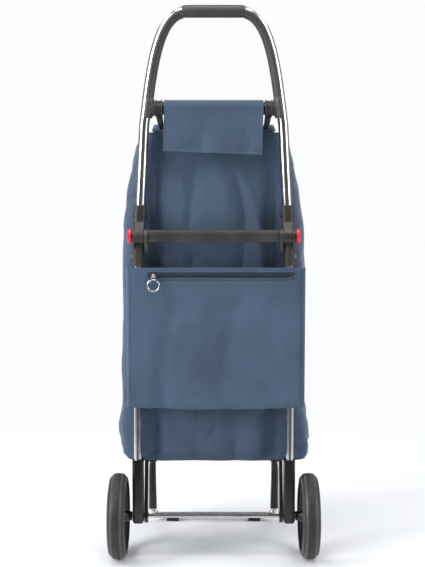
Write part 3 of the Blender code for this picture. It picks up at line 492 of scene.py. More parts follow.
def makeStudio():
    camera = bpy.data.objects.new("camera", bpy.data.cameras.new("camera"))
    scene.collection.objects.link(camera)
    camera.data.lens = studio["lens"]
    camera.data.sensor_width = 36
    camera.location = (studio["sideways"], frameY - studio["distance"], studio["height"])
    camera.rotation_euler = (math.radians(studio["tilt"]), 0, 0)
    scene.camera = camera

    floorMat, shader = newFinish("pale floor", 0.55)
    mottle = noiseOf(floorMat, place(floorMat), 3.0, 2.0)
    pale = studio["floor"]
    tone = ramp(floorMat, mottle, [(0.3, tuple(c * 0.99 for c in pale)), (0.7, pale)])
    join(floorMat, tone, shader.inputs["Base Color"])
    fadeIntoCove(floorMat, shader)
    half = 4.0
    mesh = bpy.data.meshes.new("floor")
    corners = [(-half, -half, 0), (half, -half, 0), (half, half, 0), (-half, half, 0)]
    mesh.from_pydata(corners, [], [(0, 1, 2, 3)])
    mesh.materials.append(floorMat)
    floor = bpy.data.objects.new("floor", mesh)
    scene.collection.objects.link(floor)

    softboxes = {
        "keyLeft": ((-1.9, -0.95, 1.5), (0, -0.1, 0.55), 1.0, 1.9, 62),
        "keyRight": ((2.0, -0.75, 1.4), (0, -0.1, 0.55), 1.0, 1.9, 30),
        "overhead": ((0.0, -0.4, 2.5), (0, 0, 0.4), 1.8, 1.4, 26),
        "backLeft": ((-1.1, 1.7, 2.3), (0, 0, 0.6), 1.2, 0.8, 12),
        "backRight": ((1.1, 1.7, 2.3), (0, 0, 0.6), 1.2, 0.8, 12),
    }
    for name, (spot, aim, wide, tall, watts) in softboxes.items():
        light = bpy.data.lights.new(name, "AREA")
        light.shape = "RECTANGLE"
        light.size, light.size_y = wide, tall
        light.energy = watts
        holder = bpy.data.objects.new(name, light)
        holder.location = spot
        holder.rotation_euler = (Vector(aim) - Vector(spot)).to_track_quat("-Z", "Y").to_euler()
        scene.collection.objects.link(holder)

    world = bpy.data.worlds.new("studio")
    scene.world = world
    world.use_nodes = True
    nodes, links = world.node_tree.nodes, world.node_tree.links
    seen = nodes["Background"]
    seen.inputs["Color"].default_value = (*studio["worldSeen"], 1)
    lit = nodes.new("ShaderNodeBackground")
    coords = nodes.new("ShaderNodeTexCoord")
    split = nodes.new("ShaderNodeSeparateXYZ")
    links.new(coords.outputs["Generated"], split.inputs["Vector"])
    behind, ahead = nodes.new("ShaderNodeMapRange"), nodes.new("ShaderNodeMapRange")
    total = nodes.new("ShaderNodeMath")
    # dark behind the viewer, grey ahead
    for node, values in ((behind, (-1.0, -0.3, 0.11, 0.62)), (ahead, (0.25, 0.8, 0.0, -0.36))):
        for key, value in zip(("From Min", "From Max", "To Min", "To Max"), values):
            node.inputs[key].default_value = value
        links.new(split.outputs["Y"], node.inputs["Value"])
    links.new(behind.outputs["Result"], total.inputs[0])
    links.new(ahead.outputs["Result"], total.inputs[1])
    links.new(total.outputs[0], lit.inputs["Strength"])
    lit.inputs["Color"].default_value = (*studio["worldLight"], 1)
    path = nodes.new("ShaderNodeLightPath")
    mix = nodes.new("ShaderNodeMixShader")
    links.new(path.outputs["Is Camera Ray"], mix.inputs["Fac"])
    links.new(lit.outputs["Background"], mix.inputs[1])
    links.new(seen.outputs["Background"], mix.inputs[2])
    links.new(mix.outputs["Shader"], nodes["World Output"].inputs["Surface"])
    scene.view_settings.view_transform = "Standard"


makeStudio()
print("studio made")

handle = {
    "oval": (19 * mm, 23 * mm), "foot": (139.6 * mm, 642 * mm), "legTop": (129.6 * mm, 829 * mm),
    "topZ": 1033.5 * mm, "flat": 48 * mm, "lean": 24 * mm, "gripWall": 2.0 * mm, "gripEdge": -2.5 * mm,
    "centreHalf": 57 * mm, "gripBottom": 880 * mm, "topBarZ": 860 * mm, "steps": 48, "sides": 40,
}


def legX(z):
    (x0, z0), (x1, z1) = handle["foot"], handle["legTop"]
    return x0 + (x1 - x0) * (z - z0) / (z1 - z0)


def leanAt(z):
    start = handle["legTop"][1]
    return -handle["lean"] * (max(0, z - start) / (handle["topZ"] - start)) ** 1.7


def handlePath():
    steps = handle["steps"]
    p0, p3 = Vector((*handle["legTop"], 0)), Vector((handle["flat"], handle["topZ"], 0))
    p1, p2 = p0 + Vector((-14 * mm, 109 * mm, 0)), p3 + Vector((56 * mm, 0, 0))
    half = [Vector((legX(z), z, 0)) for z in (handle["foot"][1], 700 * mm, 760 * mm, 800 * mm)]
    for k in range(steps + 1):
        t = k / steps
        half.append(p0 * (1 - t) ** 3 + p1 * 3 * (1 - t) ** 2 * t + p2 * 3 * (1 - t) * t * t + p3 * t ** 3)
    for k in range(1, 6):
        half.append(Vector((handle["flat"] * (1 - k / 6), handle["topZ"], 0)))
    right = [Vector((p.x, frameY + leanAt(p.y), p.y)) for p in half]
    left = [Vector((-p.x, p.y, p.z)) for p in reversed(right)]
    return right + [Vector((0, frameY + leanAt(handle["topZ"]), handle["topZ"]))] + left


def ovalSection(sizeIn, sizeAcross, count):
    return [(sizeIn / 2 * math.cos(2 * math.pi * (k + 0.5) / count),
             sizeAcross / 2 * math.sin(2 * math.pi * (k + 0.5) / count)) for k in range(count)]


def stretchOf(path, axis, low, high):
    kept = []
    for a, b in zip(path, path[1:]):
        span = b[axis] - a[axis]
        if abs(span) < 1e-9:
            continue
        ends = sorted(((low - a[axis]) / span, (high - a[axis]) / span))
        t0, t1 = max(0, ends[0]), min(1, ends[1])
        if t0 < t1:
            kept += [a.lerp(b, t0), a.lerp(b, t1)]
    return [p for k, p in enumerate(kept) if k == 0 or (p - kept[k - 1]).length > 1e-6]


def gripChannel(wall):
    # C-shaped section on the tube's inner side, with rolled lips
    gap = 0.3 * mm
    aIn, bIn = handle["oval"][0] / 2 + gap, handle["oval"][1] / 2 + gap
    first = math.acos(handle["gripEdge"] / aIn)
    count = 26
    outer, inner = [], []
    for k in range(count + 1):
        a = first - 2 * first * k / count
        lip = smooth(min(k, count - k) / 3.0)
        grow = wall * (0.35 + 0.65 * lip)
        inner.append((aIn * math.cos(a), bIn * math.sin(a)))
        outer.append(((aIn + grow) * math.cos(a * 0.985), (bIn + grow) * math.sin(a * 0.985)))
    return outer + inner[::-1]


def makeHandle():
    path = handlePath()
    tube = loft(sweep(path, ovalSection(*handle["oval"], handle["sides"])))
    makeObject("handle_tube_bent", *tube, aluTube, "handle", "polished_tube", ["handle_tube"])
    centre = stretchOf(path, 0, -handle["centreHalf"], handle["centreHalf"])
    wall = handle["gripWall"]
    rings = []
    last = len(centre) - 1
    for k in range(last + 1):
        end = smooth(min(k, last - k) / 2.0)
        size = [side + 2 * wall * (0.4 + 0.6 * end) for side in handle["oval"]]
        around = [centre[max(k - 1, 0)], centre[k], centre[min(k + 1, last)]]
        rings.append(sweep(around, ovalSection(*size, handle["sides"]))[1])
    makeObject("grip_sleeve", *loft(rings), gripRubber, "handle", "grey_plastic", ["grip_centre"])
    for side, label in ((-1, "left"), (1, "right")):
        half = stretchOf(path, 0, handle["centreHalf"] + 0.6 * mm, 300 * mm)
        half = stretchOf(half, 2, handle["gripBottom"], handle["topZ"])
        channel = loft(sweep(half, gripChannel(wall)))
        makeObject(f"grip_channel_{label}", *mirrorX(channel, side), gripRubber, "handle", "grey_plastic",
                   [f"grip_{label}"])
        makeGripFoot(path, side, label)


gripFoot = {
    "span": (843 * mm, 879.5 * mm), "wall": 4.2 * mm,
    "socket": ((110, 12.4), (110, 13.4), (110.6, 14), (117, 14), (120.5, 13.4), (123, 11.5), (122.6, 8),
               (113.6, 8), (113.5, 12.4)),
}


def makeGripFoot(path, side, label):
    # the channel thickens into a foot on the inner side only, with a socket round the end of the top bar
    leg = stretchOf(stretchOf(path, 0, 0, 300 * mm), 2, *gripFoot["span"])
    low, high = gripFoot["span"]
    upward = (leg[-1] - leg[0]).normalized() * mm
    rings = []
    for k in range(13):
        z = lerp(high, low, k / 12)
        p = next(a.lerp(b, (z - a.z) / (b.z - a.z)) for a, b in zip(leg, leg[1:])
                 if a.z - 1e-6 <= z <= b.z + 1e-6)
        growth = 0.55 + 0.45 * smooth((high - z) / (6 * mm))
        bulge = gripFoot["wall"] * growth * (0.7 + 0.3 * smooth((z - low) / (2 * mm)))
        rings.append(sweep([p - upward, p, p + upward], gripChannel(bulge))[1])
    socket = []
    for x, radius in gripFoot["socket"]:
        socket.append([Vector((x * mm, frameY + radius * mm * math.cos(q),
                               handle["topBarZ"] + radius * mm * math.sin(q)))
                       for q in turnSteps(40)])
    socket.append(socket[0])
    parts = [mirrorX(loft(rings), side), mirrorX(loft(socket, caps=False), side)]
    makeObject(f"grip_shoe_{label}", *gather(parts), gripRubber, "handle", "grey_plastic",
               [f"grip_foot_{label}"])


makeHandle()
print("handle made")

wheel = {
    "x": 183.5 * mm, "radius": 82.5 * mm, "half": 17.5 * mm, "depth": 16 * mm, "spokes": 6, "segments": 120,
    "blocks": 104, "blockHeight": 1.0 * mm,
    "rows": ((-58, 4.4, 0.2), (-31, 6.4, -0.32), (31, 6.4, 0.32), (58, 4.4, -0.2)),
}


def tyreShape(centre):
    half, seat = wheel["half"], wheel["radius"] - wheel["depth"]
    radius = wheel["radius"] - wheel["blockHeight"]
    crown = []
    for deg in range(-84, 85, 7):
        a = math.radians(deg)
        # a mould line runs round each shoulder
        groove = 0.5 * mm * math.exp(-((abs(deg) - 62) / 4.0) ** 2)
        crown.append((centre.x + half * math.sin(a), radius - half + (half - groove) * math.cos(a)))
    profile = [(centre.x - half * 0.84, seat), *crown, (centre.x + half * 0.84, seat)]
    carcass = latheX(profile, centre, wheel["segments"])
    blocks = []
    for deg, length, slant in wheel["rows"]:
        a = math.radians(deg)
        base = Vector((half * math.sin(a), 0, radius - half + half * math.cos(a)))
        normal = Vector((math.sin(a), 0, math.cos(a)))
        alongX = Vector((math.cos(a), 0, -math.sin(a)))
        for k in range(wheel["blocks"]):
            turn = Matrix.Rotation(2 * math.pi * k / wheel["blocks"], 3, "X")
            tangent = Vector((0, 1, 0))
            major = (alongX * math.cos(slant) + tangent * math.sin(slant)) * length * mm * 0.5
            minor = (tangent * math.cos(slant) - alongX * math.sin(slant)) * 1.3 * mm
            rings = []
            for grow, up in ((1.05, -0.3), (1.0, 0.55), (0.8, 0.95)):
                rings.append([centre + turn @ (base + normal * wheel["blockHeight"] * up
                              + major * grow * math.cos(q) + minor * grow * math.sin(q))
                              for q in turnSteps(8)])
            blocks.append(loft(rings))
    return carcass, blocks


def rimShape(centre, side):
    seat = wheel["radius"] - wheel["depth"] - 0.3 * mm
    hub, lip = 13 * mm, 13 * mm
    half = ((lip, 0), (lip, 3.2 * mm), (lip - 1 * mm, 5 * mm), (6 * mm, 7 * mm))  # from edge to middle
    ringProfile = [(-x, seat - deep) for x, deep in half] + [(0, seat - 8 * mm)]
    ringProfile += [(x, seat - deep) for x, deep in reversed(half)]
    ring = latheX([(centre.x + x, r) for x, r in ringProfile], centre, wheel["segments"])
    bore = 4.3
    hubProfile = [(-26.5, bore), (-26.5, 7.6), (-25.7, 8.6), (-14, 11), (-12, 13), (10.8, 13), (12, 11.8),
                  (12, bore)]
    hubPart = latheX([(centre.x + x * mm * side, r * mm) for x, r in hubProfile], centre, 48)
    spokes = []
    for k in range(wheel["spokes"]):
        turn = Matrix.Rotation(2 * math.pi * k / wheel["spokes"], 3, "X")
        rings = []
        levels = ((hub - 2 * mm, 7.5, 8.2), (hub + 6 * mm, 5.4, 6.6), ((hub + seat) / 2, 4.2, 5.6),
                  (seat - 14 * mm, 5.0, 6.0), (seat - 5.5 * mm, 8.5, 8.5))
        for r, wide, deep in levels:
            ringPoints = []
            for j in range(20):
                q = 2 * math.pi * (j + 0.5) / 20
                c, s = math.cos(q), math.sin(q)
                y = math.copysign(abs(c) ** 0.45, c) * wide * mm * 0.5
                x = math.copysign(abs(s) ** 0.45, s) * deep * mm * 0.6
                ringPoints.append(centre + turn @ Vector((x, y, r)))
            rings.append(ringPoints)
        spokes.append(loft(rings))
    return gather([ring, hubPart, *spokes])


def makeWheels():
    for side, label in ((-1, "left"), (1, "right")):
        centre = Vector((wheel["x"] * side, frameY, wheel["radius"]))
        carcass, blocks = tyreShape(centre)
        body = f"wheel_{label}"
        makeObject(f"tyre_carcass_{label}", *carcass, foamTyre, body, "foam_tyre", [f"tyre_{label}"])
        makeObject(f"tread_blocks_{label}", *gather(blocks), highlightedTread, body, "foam_tyre")
        rim = rimShape(centre, side)
        makeObject(f"spoked_rim_{label}", *rim, rimPlastic, body, "rim_plastic", [f"rim_{label}"])


makeWheels()
print("wheels made")

stand = {"radius": 6.5 * mm, "y": 232 * mm, "z": 11 * mm, "legX": 129.7 * mm, "bend": 16 * mm}


def makeStandBar():
    y = frameY + stand["y"]
    right = [Vector((stand["legX"], y - 3.6 * mm, 45 * mm)),
             Vector((stand["legX"], y - 1 * mm, stand["z"] + stand["bend"]))]
    for k in range(1, 13):
        a = math.radians(90 * k / 12)
        right.append(Vector((stand["legX"] - stand["bend"] * (1 - math.cos(a)), y,
                             stand["z"] + stand["bend"] * (1 - math.sin(a)))))
    path = right + [Vector((-p.x, p.y, p.z)) for p in reversed(right)]
    rings = sweep(path, ovalSection(2 * stand["radius"], 2 * stand["radius"], 32))
    makeObject("stand_tube", *loft(rings), steelBar, "stand", "bright_steel", ["stand_bar"])


makeStandBar()
print("stand bar made")

bag = {
    "halfWidth": ((0.187, 0.179), (0.196, 0.186), (0.222, 0.189), (0.250, 0.187), (0.300, 0.179),
                  (0.560, 0.1755), (0.640, 0.174), (0.700, 0.166), (0.757, 0.153), (0.790, 0.145),
                  (0.817, 0.133)),
    "cornerSlant": (0.95, 1.01),
    "front": ((0.187, 0.214), (0.222, 0.231), (0.300, 0.231), (0.560, 0.226), (0.700, 0.216), (0.757, 0.210),
              (0.817, 0.203)),
    "back": 17 * mm, "rim": 0.8165, "floor": 0.1868, "corner": 4.2, "backCorner": 9.0, "around": 300,
    "rows": 210, "cloth": 1.0 * mm,
}


def ringAt(half, back, front, z, count):
    # a rounded rectangle of evenly spaced points, starting at the middle of the back, which is flatter
    fine = 1440
    points = []
    cy, hy = (back + front) / 2, (front - back) / 2
    for k in range(fine + 1):
        a = 2 * math.pi * k / fine - math.pi / 2
        c, s = math.cos(a), math.sin(a)
        bend = 2 / (bag["backCorner"] if s < 0 else bag["corner"])
        points.append((half * math.copysign(abs(c) ** bend, c), cy + hy * math.copysign(abs(s) ** bend, s)))
    flat = np.array(points)
    steps = np.r_[0, np.cumsum(np.hypot(*np.diff(flat, axis=0).T))]
    want = np.linspace(0, steps[-1], count, endpoint=False)
    xs, ys = (np.interp(want, steps, flat[:, k]) for k in range(2))
    return [Vector((x, y, z)) for x, y in zip(xs, ys)]


def backDepth(x, z):
    # the back panel between the tubes: it bellies out, and slack folds fan down from the rim
    high = (z - bag["floor"]) / (bag["rim"] - bag["floor"])
    belly = 7.5 * mm * (1 - smooth((abs(x) - 84 * mm) / (32 * mm)))
    lower = smooth((0.80 - z) / 0.12)
    fan = 0.55 + 0.45 * smooth((0.80 - z) / 0.16)
    folds = 0.0
    for middle, width, depth in ((-0.083, 0.014, 5.6), (-0.038, 0.012, -5.6), (0.006, 0.018, 6.2),
                                 (0.048, 0.011, -6.0), (0.083, 0.013, 5.4)):
        sway = 0.010 * math.sin(z * 9.0 + middle * 40)
        folds += depth * mm * math.exp(-abs((x - middle * fan - sway) / width) ** 1.4)
    gutter = -5.5 * mm * math.exp(-((abs(x) - 114 * mm) / (11 * mm)) ** 2)
    low = smooth((0.32 - z) / 0.06)
    return (belly + gutter) * lower * smooth(high / 0.03) + folds * lower * (1 - 0.6 * low)


def foldDepth(p):
    # how far the cloth moves outwards: broad slack, leaning folds and creases at the foot
    x, y, z = p
    high = (z - bag["floor"]) / (bag["rim"] - bag["floor"])
    broad = noise.noise(Vector((x * 7.0, y * 7.0, z * 3.2))) * 5.0 * mm
    lean = noise.noise(Vector((x * 17.0 + z * 6.0, y * 15.0, z * 5.2 + 3.1))) * 4.4 * mm
    fine = noise.noise(Vector((x * 34.0 - z * 12.0, y * 30.0, z * 15.0 + 7.7))) * 1.8 * mm
    ridge = abs(noise.noise(Vector((x * 12.0 - z * 7.0, y * 11.0 + 5.0, z * 9.0))))
    crease = -math.exp(-(ridge / 0.08) ** 2) * 3.4 * mm * (0.3 + 0.7 * smooth((0.42 - high) / 0.42))
    edgeCalm = smooth((1.0 - high) / 0.05) * smooth(high / 0.02)
    return (broad + lean + fine + crease) * edgeCalm


def bagProfile(z):
    half = curveThrough(bag["halfWidth"], z)
    front = frameY + curveThrough(bag["front"], z)
    back = frameY + bag["back"]
    return half, back, front


def makeBag():
    rings = []
    for r in range(bag["rows"] + 1):
        z = lerp(bag["rim"], bag["floor"], r / bag["rows"])
        half, back, front = bagProfile(z)
        foot = 1 - smooth((z - bag["floor"]) / (70 * mm))  # the left lower corner is pushed in
        ring = ringAt(half, back, front, z, bag["around"])
        for p in ring:
            p.x *= lerp(1.0, bag["cornerSlant"][0 if p.x < 0 else 1], foot if p.x < 0 else foot ** 3)
        rings.append(ring)
    moved = []
    for r, ring in enumerate(rings):
        newRing = []
        for k, p in enumerate(ring):
            a, b = ring[(k + 1) % len(ring)], ring[k - 1]
            tangent = (a - b).normalized()
            normal = Vector((tangent.y, -tangent.x, 0))
            depth = foldDepth(p)
            back = smooth((-normal.y - 0.45) / 0.45)
            nearTube = math.exp(-((abs(p.x) - 141 * mm) / (16 * mm)) ** 2)
            free = depth * 0.8 * smooth((0.81 - p.z) / 0.10) + backDepth(p.x, p.z)
            held = min(free, 1.5 * mm)  # the tubes press here
            depth = lerp(depth, lerp(free, held, nearTube), back)
            newRing.append(p + normal * min(depth, 9.5 * mm))
        moved.append(newRing)
    back, front = bag["back"], bag["front"][0][1]
    centre = Vector((0, frameY + (back + front) / 2, bag["floor"]))
    for shrink in (0.985, 0.96, 0.85, 0.6, 0.3, 0.05):
        moved.append([centre + (p - centre) * shrink for p in moved[bag["rows"]]])
        for p in moved[-1]:
            p.z = bag["floor"] - 0.28 * mm
    verts, faces = loft(moved, caps=False)
    faces.append(tuple(range(len(verts) - bag["around"], len(verts))))
    piece = makeObject("bag_shell", verts, faces, blueCloth, "chassis", "blue_cloth",
                       ["bag_back", "bag_front", "bag_side_left", "bag_side_right"], smoothAngle=0)
    thicken(piece, bag["cloth"])

    z, radius = bag["rim"] - 1.5 * mm, 1.9 * mm
    half, back, front = bagProfile(z)
    line = ringAt(half + 0.4 * mm, back - 0.4 * mm, front + 0.4 * mm, z, 160)
    rings = []
    for k, p in enumerate(line):
        tangent = (line[(k + 1) % 160] - line[k - 1]).normalized()
        out = Vector((tangent.y, -tangent.x, 0))
        rings.append([p + out * radius * math.cos(q) + Vector((0, 0, 1)) * radius * math.sin(q)
                      for q in turnSteps(10)])
    rings.append(rings[0])
    makeObject("bag_piping", *loft(rings, caps=False), blueCloth, "chassis", "blue_cloth")


makeBag()
print("bag made")

lid = {
    "rows": ((22, 84, 823), (34, 84, 826), (46, 96, 829), (54, 118, 831), (80, 120, 833.5), (120, 121, 835),
             (165, 121, 833), (190, 121, 829.5), (202, 121, 824), (209, 122, 815)),
    "skirt": ((213, 127, 800), (218, 144, 768), (222, 152, 735), (226, 159, 707)),
    "roll": 1.75 * mm, "drop": 11 * mm, "cloth": 1.6 * mm, "columns": 64, "strips": 110,
}


def makeLid():
    rows = []
    spine = [(y * mm, half * mm, z * mm) for y, half, z in (*lid["rows"], *lid["skirt"])]
    lengths = [0.0]
    for (y0, _, z0), (y1, _, z1) in zip(spine, spine[1:]):
        lengths.append(lengths[-1] + math.hypot(y1 - y0, z1 - z0))
    for r in range(lid["strips"] + 1):
        s = lengths[-1] * r / lid["strips"]
        y, half, z = (float(np.interp(s, lengths, [p[k] for p in spine])) for k in range(3))
        onTop = smooth((212 * mm - y) / (14 * mm))
        row = []
        for c in range(lid["columns"] + 1):
            u = -1 + 2 * c / lid["columns"]
            x = half * u
            edge = abs(u)
            roll = math.exp(-((edge - 0.955) / 0.03) ** 2) * lid["roll"]
            drop = smooth((edge - 0.955) / 0.045) * lid["drop"]
            wave = noise.noise(Vector((x * 11, y * 9, z * 9))) * 1.6 * mm * (1 - smooth((edge - 0.9) / 0.1))
            if onTop > 0:
                point = Vector((x, frameY + y, z + (roll - drop + wave) * onTop))
            else:
                point = Vector((x, frameY + y + 0.6 * mm + max(wave, -0.5 * mm), z))
            row.append(point)
        rows.append(row)
    verts, faces = loft(rows, closed=False, caps=False)
    piece = makeObject("cloth_lid", verts, faces, blueCloth, "lid", "blue_cloth", ["bag_lid"], smoothAngle=0)
    thicken(piece, lid["cloth"])
    hem = [p + Vector((0, 0.5 * mm, 4 * mm)) for p in rows[-1]]
    makeObject("lid_hem_stitches", *gather(stitchRow(hem)), sewingThread, "lid", "blue_cloth")


makeLid()
print("lid made")

flap = {
    "half": 92 * mm, "barR": 12.4 * mm, "cloth": 1.6 * mm, "bottom": 777 * mm, "frontBottom": 821 * mm,
    "barZ": handle["topBarZ"], "hem": 4.2 * mm, "sideHem": 3.6 * mm, "skew": 3.6 * mm, "drift": 2.2 * mm,
    "columns": 230, "strips": 100,
}


def flapWave(x, z):
    # slack in the hanging cloth, deepest at its foot
    wave = math.sin(x * 34 + 0.6 + z * 8) * 2.2 + math.sin(x * 71 - z * 15) * 1.2
    for middle, width, depth in ((-0.024, 0.011, -3.4), (0.004, 0.016, 2.2), (0.063, 0.010, -4.2)):
        wave += depth * math.exp(-((x - middle - (z - 0.8) * 0.12) / width) ** 2)
    return max(wave + noise.noise(Vector((x * 22, 1.7, z * 14))) * 2.4, -3.2) * mm


def hemGroove(x, z):
    # the stitches pull a shallow line into the cloth along the hem and the two sides
    across = abs(x) - (flap["half"] - flap["sideHem"])
    up = z - (flap["bottom"] + flap["hem"])
    low = math.exp(-(up / (1.0 * mm)) ** 2)
    side = math.exp(-(across / (1.0 * mm)) ** 2)
    fold = 0.5 * mm if up < 0 or across > 0 else 0.0
    return max(low, side) * 0.9 * mm - fold


def makeFlap():
    outer = flap["barR"] + flap["cloth"]
    line = [(outer, flap["frontBottom"]), (outer, 840 * mm)]
    line += [(outer * math.cos(math.radians(a)), flap["barZ"] + outer * math.sin(math.radians(a)))
             for a in range(0, 181, 9)]
    for k in range(1, flap["strips"] + 1):
        z = lerp(flap["barZ"], flap["bottom"], k / flap["strips"])
        line.append((-outer - 1.5 * mm * smooth((flap["barZ"] - z) / (60 * mm)), z))
    rows = []
    for y, z in line:
        low = smooth((flap["barZ"] - 8 * mm - z) / (70 * mm)) if y < 0 else 0.0
        skew = (flap["barZ"] - z) / (flap["barZ"] - flap["bottom"]) if y < 0 and z < flap["barZ"] else 0.0
        row = []
        for c in range(flap["columns"] + 1):
            x = -flap["half"] + 2 * flap["half"] * c / flap["columns"]
            behind = y - flapWave(x, z) * low + (hemGroove(x, z) if skew else 0.0)
            foot = z - flap["skew"] * skew * x / flap["half"]
            row.append(Vector((x - flap["drift"] * skew, frameY + behind, foot)))
        rows.append(row)
    verts, faces = loft(rows, closed=False, caps=False)
    piece = makeObject("cloth_flap", verts, faces, shadedFlapCloth, "handle", "blue_cloth", ["hanging_flap"],
                       smoothAngle=0)
    thicken(piece, flap["cloth"], 1)

    inset = 3 * mm
    hemLine = []
    for k in range(61):
        x = lerp(-flap["half"] + inset, flap["half"] - inset, k / 60)
        z = flap["bottom"] + flap["hem"]
        y = -outer - 1.5 * mm - flapWave(x, z) - flap["cloth"] + 0.55 * mm
        hemLine.append(Vector((x - flap["drift"], frameY + y, z - flap["skew"] * x / flap["half"])))
    parts = stitchRow(hemLine, radius=0.45 * mm)
    makeObject("flap_stitches", *gather(parts), sewingThread, "handle", "blue_cloth")


makeFlap()
print("flap made")

pocket = {
    "half": 168.5 * mm, "low": 299 * mm, "high": 563 * mm, "face": -17 * mm, "back": 14 * mm, "round": 7 * mm,
    "shift": 4.0 * mm, "sag": 5.5 * mm, "strips": 96, "cloth": 1.2 * mm, "tubeX": 143.5 * mm,
    "zipZ": 549.5 * mm, "zipX": (-124 * mm, 150 * mm), "hem": 6 * mm,
}


def pocketFace(x, z):
    # depth of the panel's rear face: it lies over the tubes and hangs slack between them
    over = math.exp(-((abs(x) - pocket["tubeX"]) / (9 * mm)) ** 2)
    slack = 1 - smooth((abs(x) - 104 * mm) / (26 * mm))
    tall = smooth((pocket["high"] - 24 * mm - z) / (60 * mm))
    sway = 0.012 * math.sin(z * 14.0)
    ripple = 0.0
    for middle, width, depth in ((-0.088, 0.016, 4.0), (-0.030, 0.022, -2.6), (0.028, 0.017, 4.2),
                                 (0.088, 0.024, -2.4)):
        ripple += depth * math.exp(-((x - middle - sway * 1.3) / width) ** 2)
    ripple += noise.noise(Vector((x * 13 + z * 8, 4.2, z * 9))) * 5.0
    ripple += noise.noise(Vector((x * 30 - z * 12, 9.4, z * 16))) * 1.6
    edge = 0.9 * math.exp(-((abs(x) - 161 * mm) / (2.5 * mm)) ** 2)
    inward = (edge * (1 - over) + slack * max(2.4 + ripple, -1.0) * tall) * mm
    return pocket["face"] + inward


def makePocket():
    rows = []
    across = [-pocket["half"] + 2 * pocket["half"] * k / 140 for k in range(141)]
    for r in range(pocket["strips"] + 1):
        t = r / pocket["strips"]
        turn = pocket["round"]
        row = [(-pocket["half"], float(y)) for y in np.linspace(pocket["back"], pocket["face"] + turn, 9)]
        for k in range(1, 7):
            a = math.radians(90 * k / 7)
            inset, rise = turn * (1 - math.cos(a)), turn * (1 - math.sin(a))
            row.append((-pocket["half"] + inset, pocket["face"] + rise))
        middle = [(x, None) for x in across if abs(x) <= pocket["half"] - turn]
        right = [(-x, y) for x, y in reversed(row)]
        line = []
        for x, y in row + middle + right:
            onFace = y is None
            sag = pocket["sag"] * (1 - (x / pocket["half"]) ** 2) * (1 - t) ** 3
            z = lerp(pocket["low"], pocket["high"], t) - sag
            if onFace:
                y = pocketFace(x, z)
            hem = 0.35 * mm if t < 0.045 and onFace else 0.0
            line.append(Vector((x + pocket["shift"], frameY + y - hem, z)))
        rows.append(line)
    verts, faces = loft(rows, closed=False, caps=False)
    piece = makeObject("pocket_sleeve", verts, faces, litPocketCloth, "chassis", "blue_cloth", ["rear_pocket"],
                       smoothAngle=0)
    thicken(piece, pocket["cloth"])

    rows = []
    for r in range(9):  # rolled hem along the top
        q = math.radians(-90 + 270 * r / 8)
        rows.append([Vector((x + pocket["shift"], frameY + pocket["face"] + (1.2 - 1.5 * math.cos(q)) * mm,
                             pocket["high"] + (1.4 * math.sin(q) - 0.6) * mm)) for x in across[3:-3]])
    makeObject("pocket_top_hem", *loft(rows, closed=False, caps=False), litPocketCloth, "chassis", "blue_cloth")

    parts = []
    foot = pocket["low"] + pocket["hem"]
    hem = [Vector((x + pocket["shift"], frameY + pocketFace(x, foot) - 0.45 * mm,
                   foot - pocket["sag"] * (1 - (x / pocket["half"]) ** 2))) for x in across[6:-6]]
    parts += stitchRow(hem)
    y, z = frameY + pocket["face"] - 0.1 * mm, pocket["zipZ"] - 8.6 * mm
    parts += stitchRow([Vector((x, y, z)) for x in across[16:-8]])
    for x in (-pocket["half"] + 9 * mm, pocket["half"] - 9 * mm):
        side = [Vector((x + pocket["shift"], frameY + pocketFace(x, z) - 0.15 * mm, z))
                for z in np.linspace(foot, pocket["high"] - 4 * mm, 60)]
        parts += stitchRow(side)
    makeObject("pocket_stitches", *gather(parts), sewingThread, "chassis", "blue_cloth")


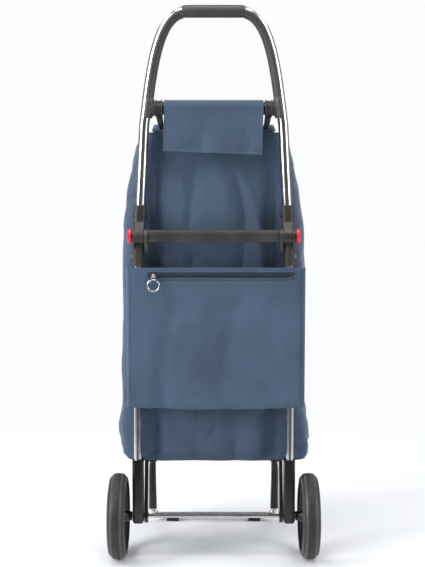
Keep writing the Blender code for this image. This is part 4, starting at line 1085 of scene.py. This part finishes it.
def makeZip():
    x0, x1 = pocket["zipX"]
    face, z = frameY + pocket["face"], pocket["zipZ"]
    tape = roundBox((x0, face - 1.1 * mm, z - 5.2 * mm), (x1, face - 0.1 * mm, z + 5.2 * mm), 0.4 * mm)
    makeObject("zip_tape_woven", *tape, zipTapeCloth, "chassis", "zip_tape", ["zip_tape"])
    coils = []
    pitch = 1.5 * mm
    for k in range(int((x1 - x0 - 6 * mm) / pitch)):
        x = x0 + 3 * mm + k * pitch
        for row in (-1, 1):
            shift = pitch / 2 if row > 0 else 0
            coils.append(capsule((x + shift, face - 1.7 * mm, z + row * 0.1 * mm),
                                 (x + shift + 0.35 * mm, face - 1.5 * mm, z + row * 2.3 * mm), 0.62 * mm))
    makeObject("zip_coil", *gather(coils), zipTapeCloth, "chassis", "zip_tape", ["zip_chain"])
    welts = []
    for offset, end in ((7.0 * mm, 0), (-6.6 * mm, 6 * mm)):
        line = []
        for k in range(61):
            x = lerp(x0 - 2 * mm, x1 + 3 * mm, k / 60)
            up = smooth((x - x1 + 12 * mm) / (15 * mm)) * end
            line.append(Vector((x, face - 0.4 * mm, z + offset + up)))
        rings = []
        for k, p in enumerate(line):
            size = 1.25 * mm if 0 < k < 60 else 0.4 * mm
            rings.append([p + Vector((0, -math.cos(q) * size, math.sin(q) * size * 1.15))
                          for q in turnSteps(10)])
        welts.append(loft(rings))
    makeObject("zip_welts", *gather(welts), litPocketCloth, "chassis", "blue_cloth")


def makePull():
    eye = Vector((-113 * mm, frameY + pocket["face"] - 6.4 * mm, pocket["zipZ"] - 0.2 * mm))
    ringR, wire, drop = 11 * mm, 1.3 * mm, 7.6 * mm
    centre = eye + Vector((0, 0, -drop - ringR))
    rings = []
    for k in range(65):
        a = 2 * math.pi * k / 64
        out = Vector((math.cos(a), 0, math.sin(a)))
        rings.append([centre + out * (ringR + wire * math.cos(b)) + Vector((0, 1, 0)) * wire * math.sin(b)
                      for b in turnSteps(14)])
    ring = loft(rings, caps=False)
    rows = []
    half, thin = 2.6 * mm, 0.62 * mm
    for k in range(41):
        a = 2 * math.pi * k / 40
        c, s = math.cos(a), math.sin(a)
        tall = 4.1 * mm
        p = eye + Vector((half * math.copysign(abs(c) ** 0.8, c), 0, -drop / 2 + tall * s))
        out = Vector((c, 0, s))
        rows.append([p + out * thin * math.cos(b) + Vector((0, 1, 0)) * thin * math.sin(b)
                     for b in turnSteps(10)])
    link = loft(rows, caps=False)
    makeObject("pull_ring_wire", *gather([ring, link]), nickelPlate, "pull", "nickel", ["pull_ring"])


makePocket()
makeZip()
makePull()
print("pocket and zip made")
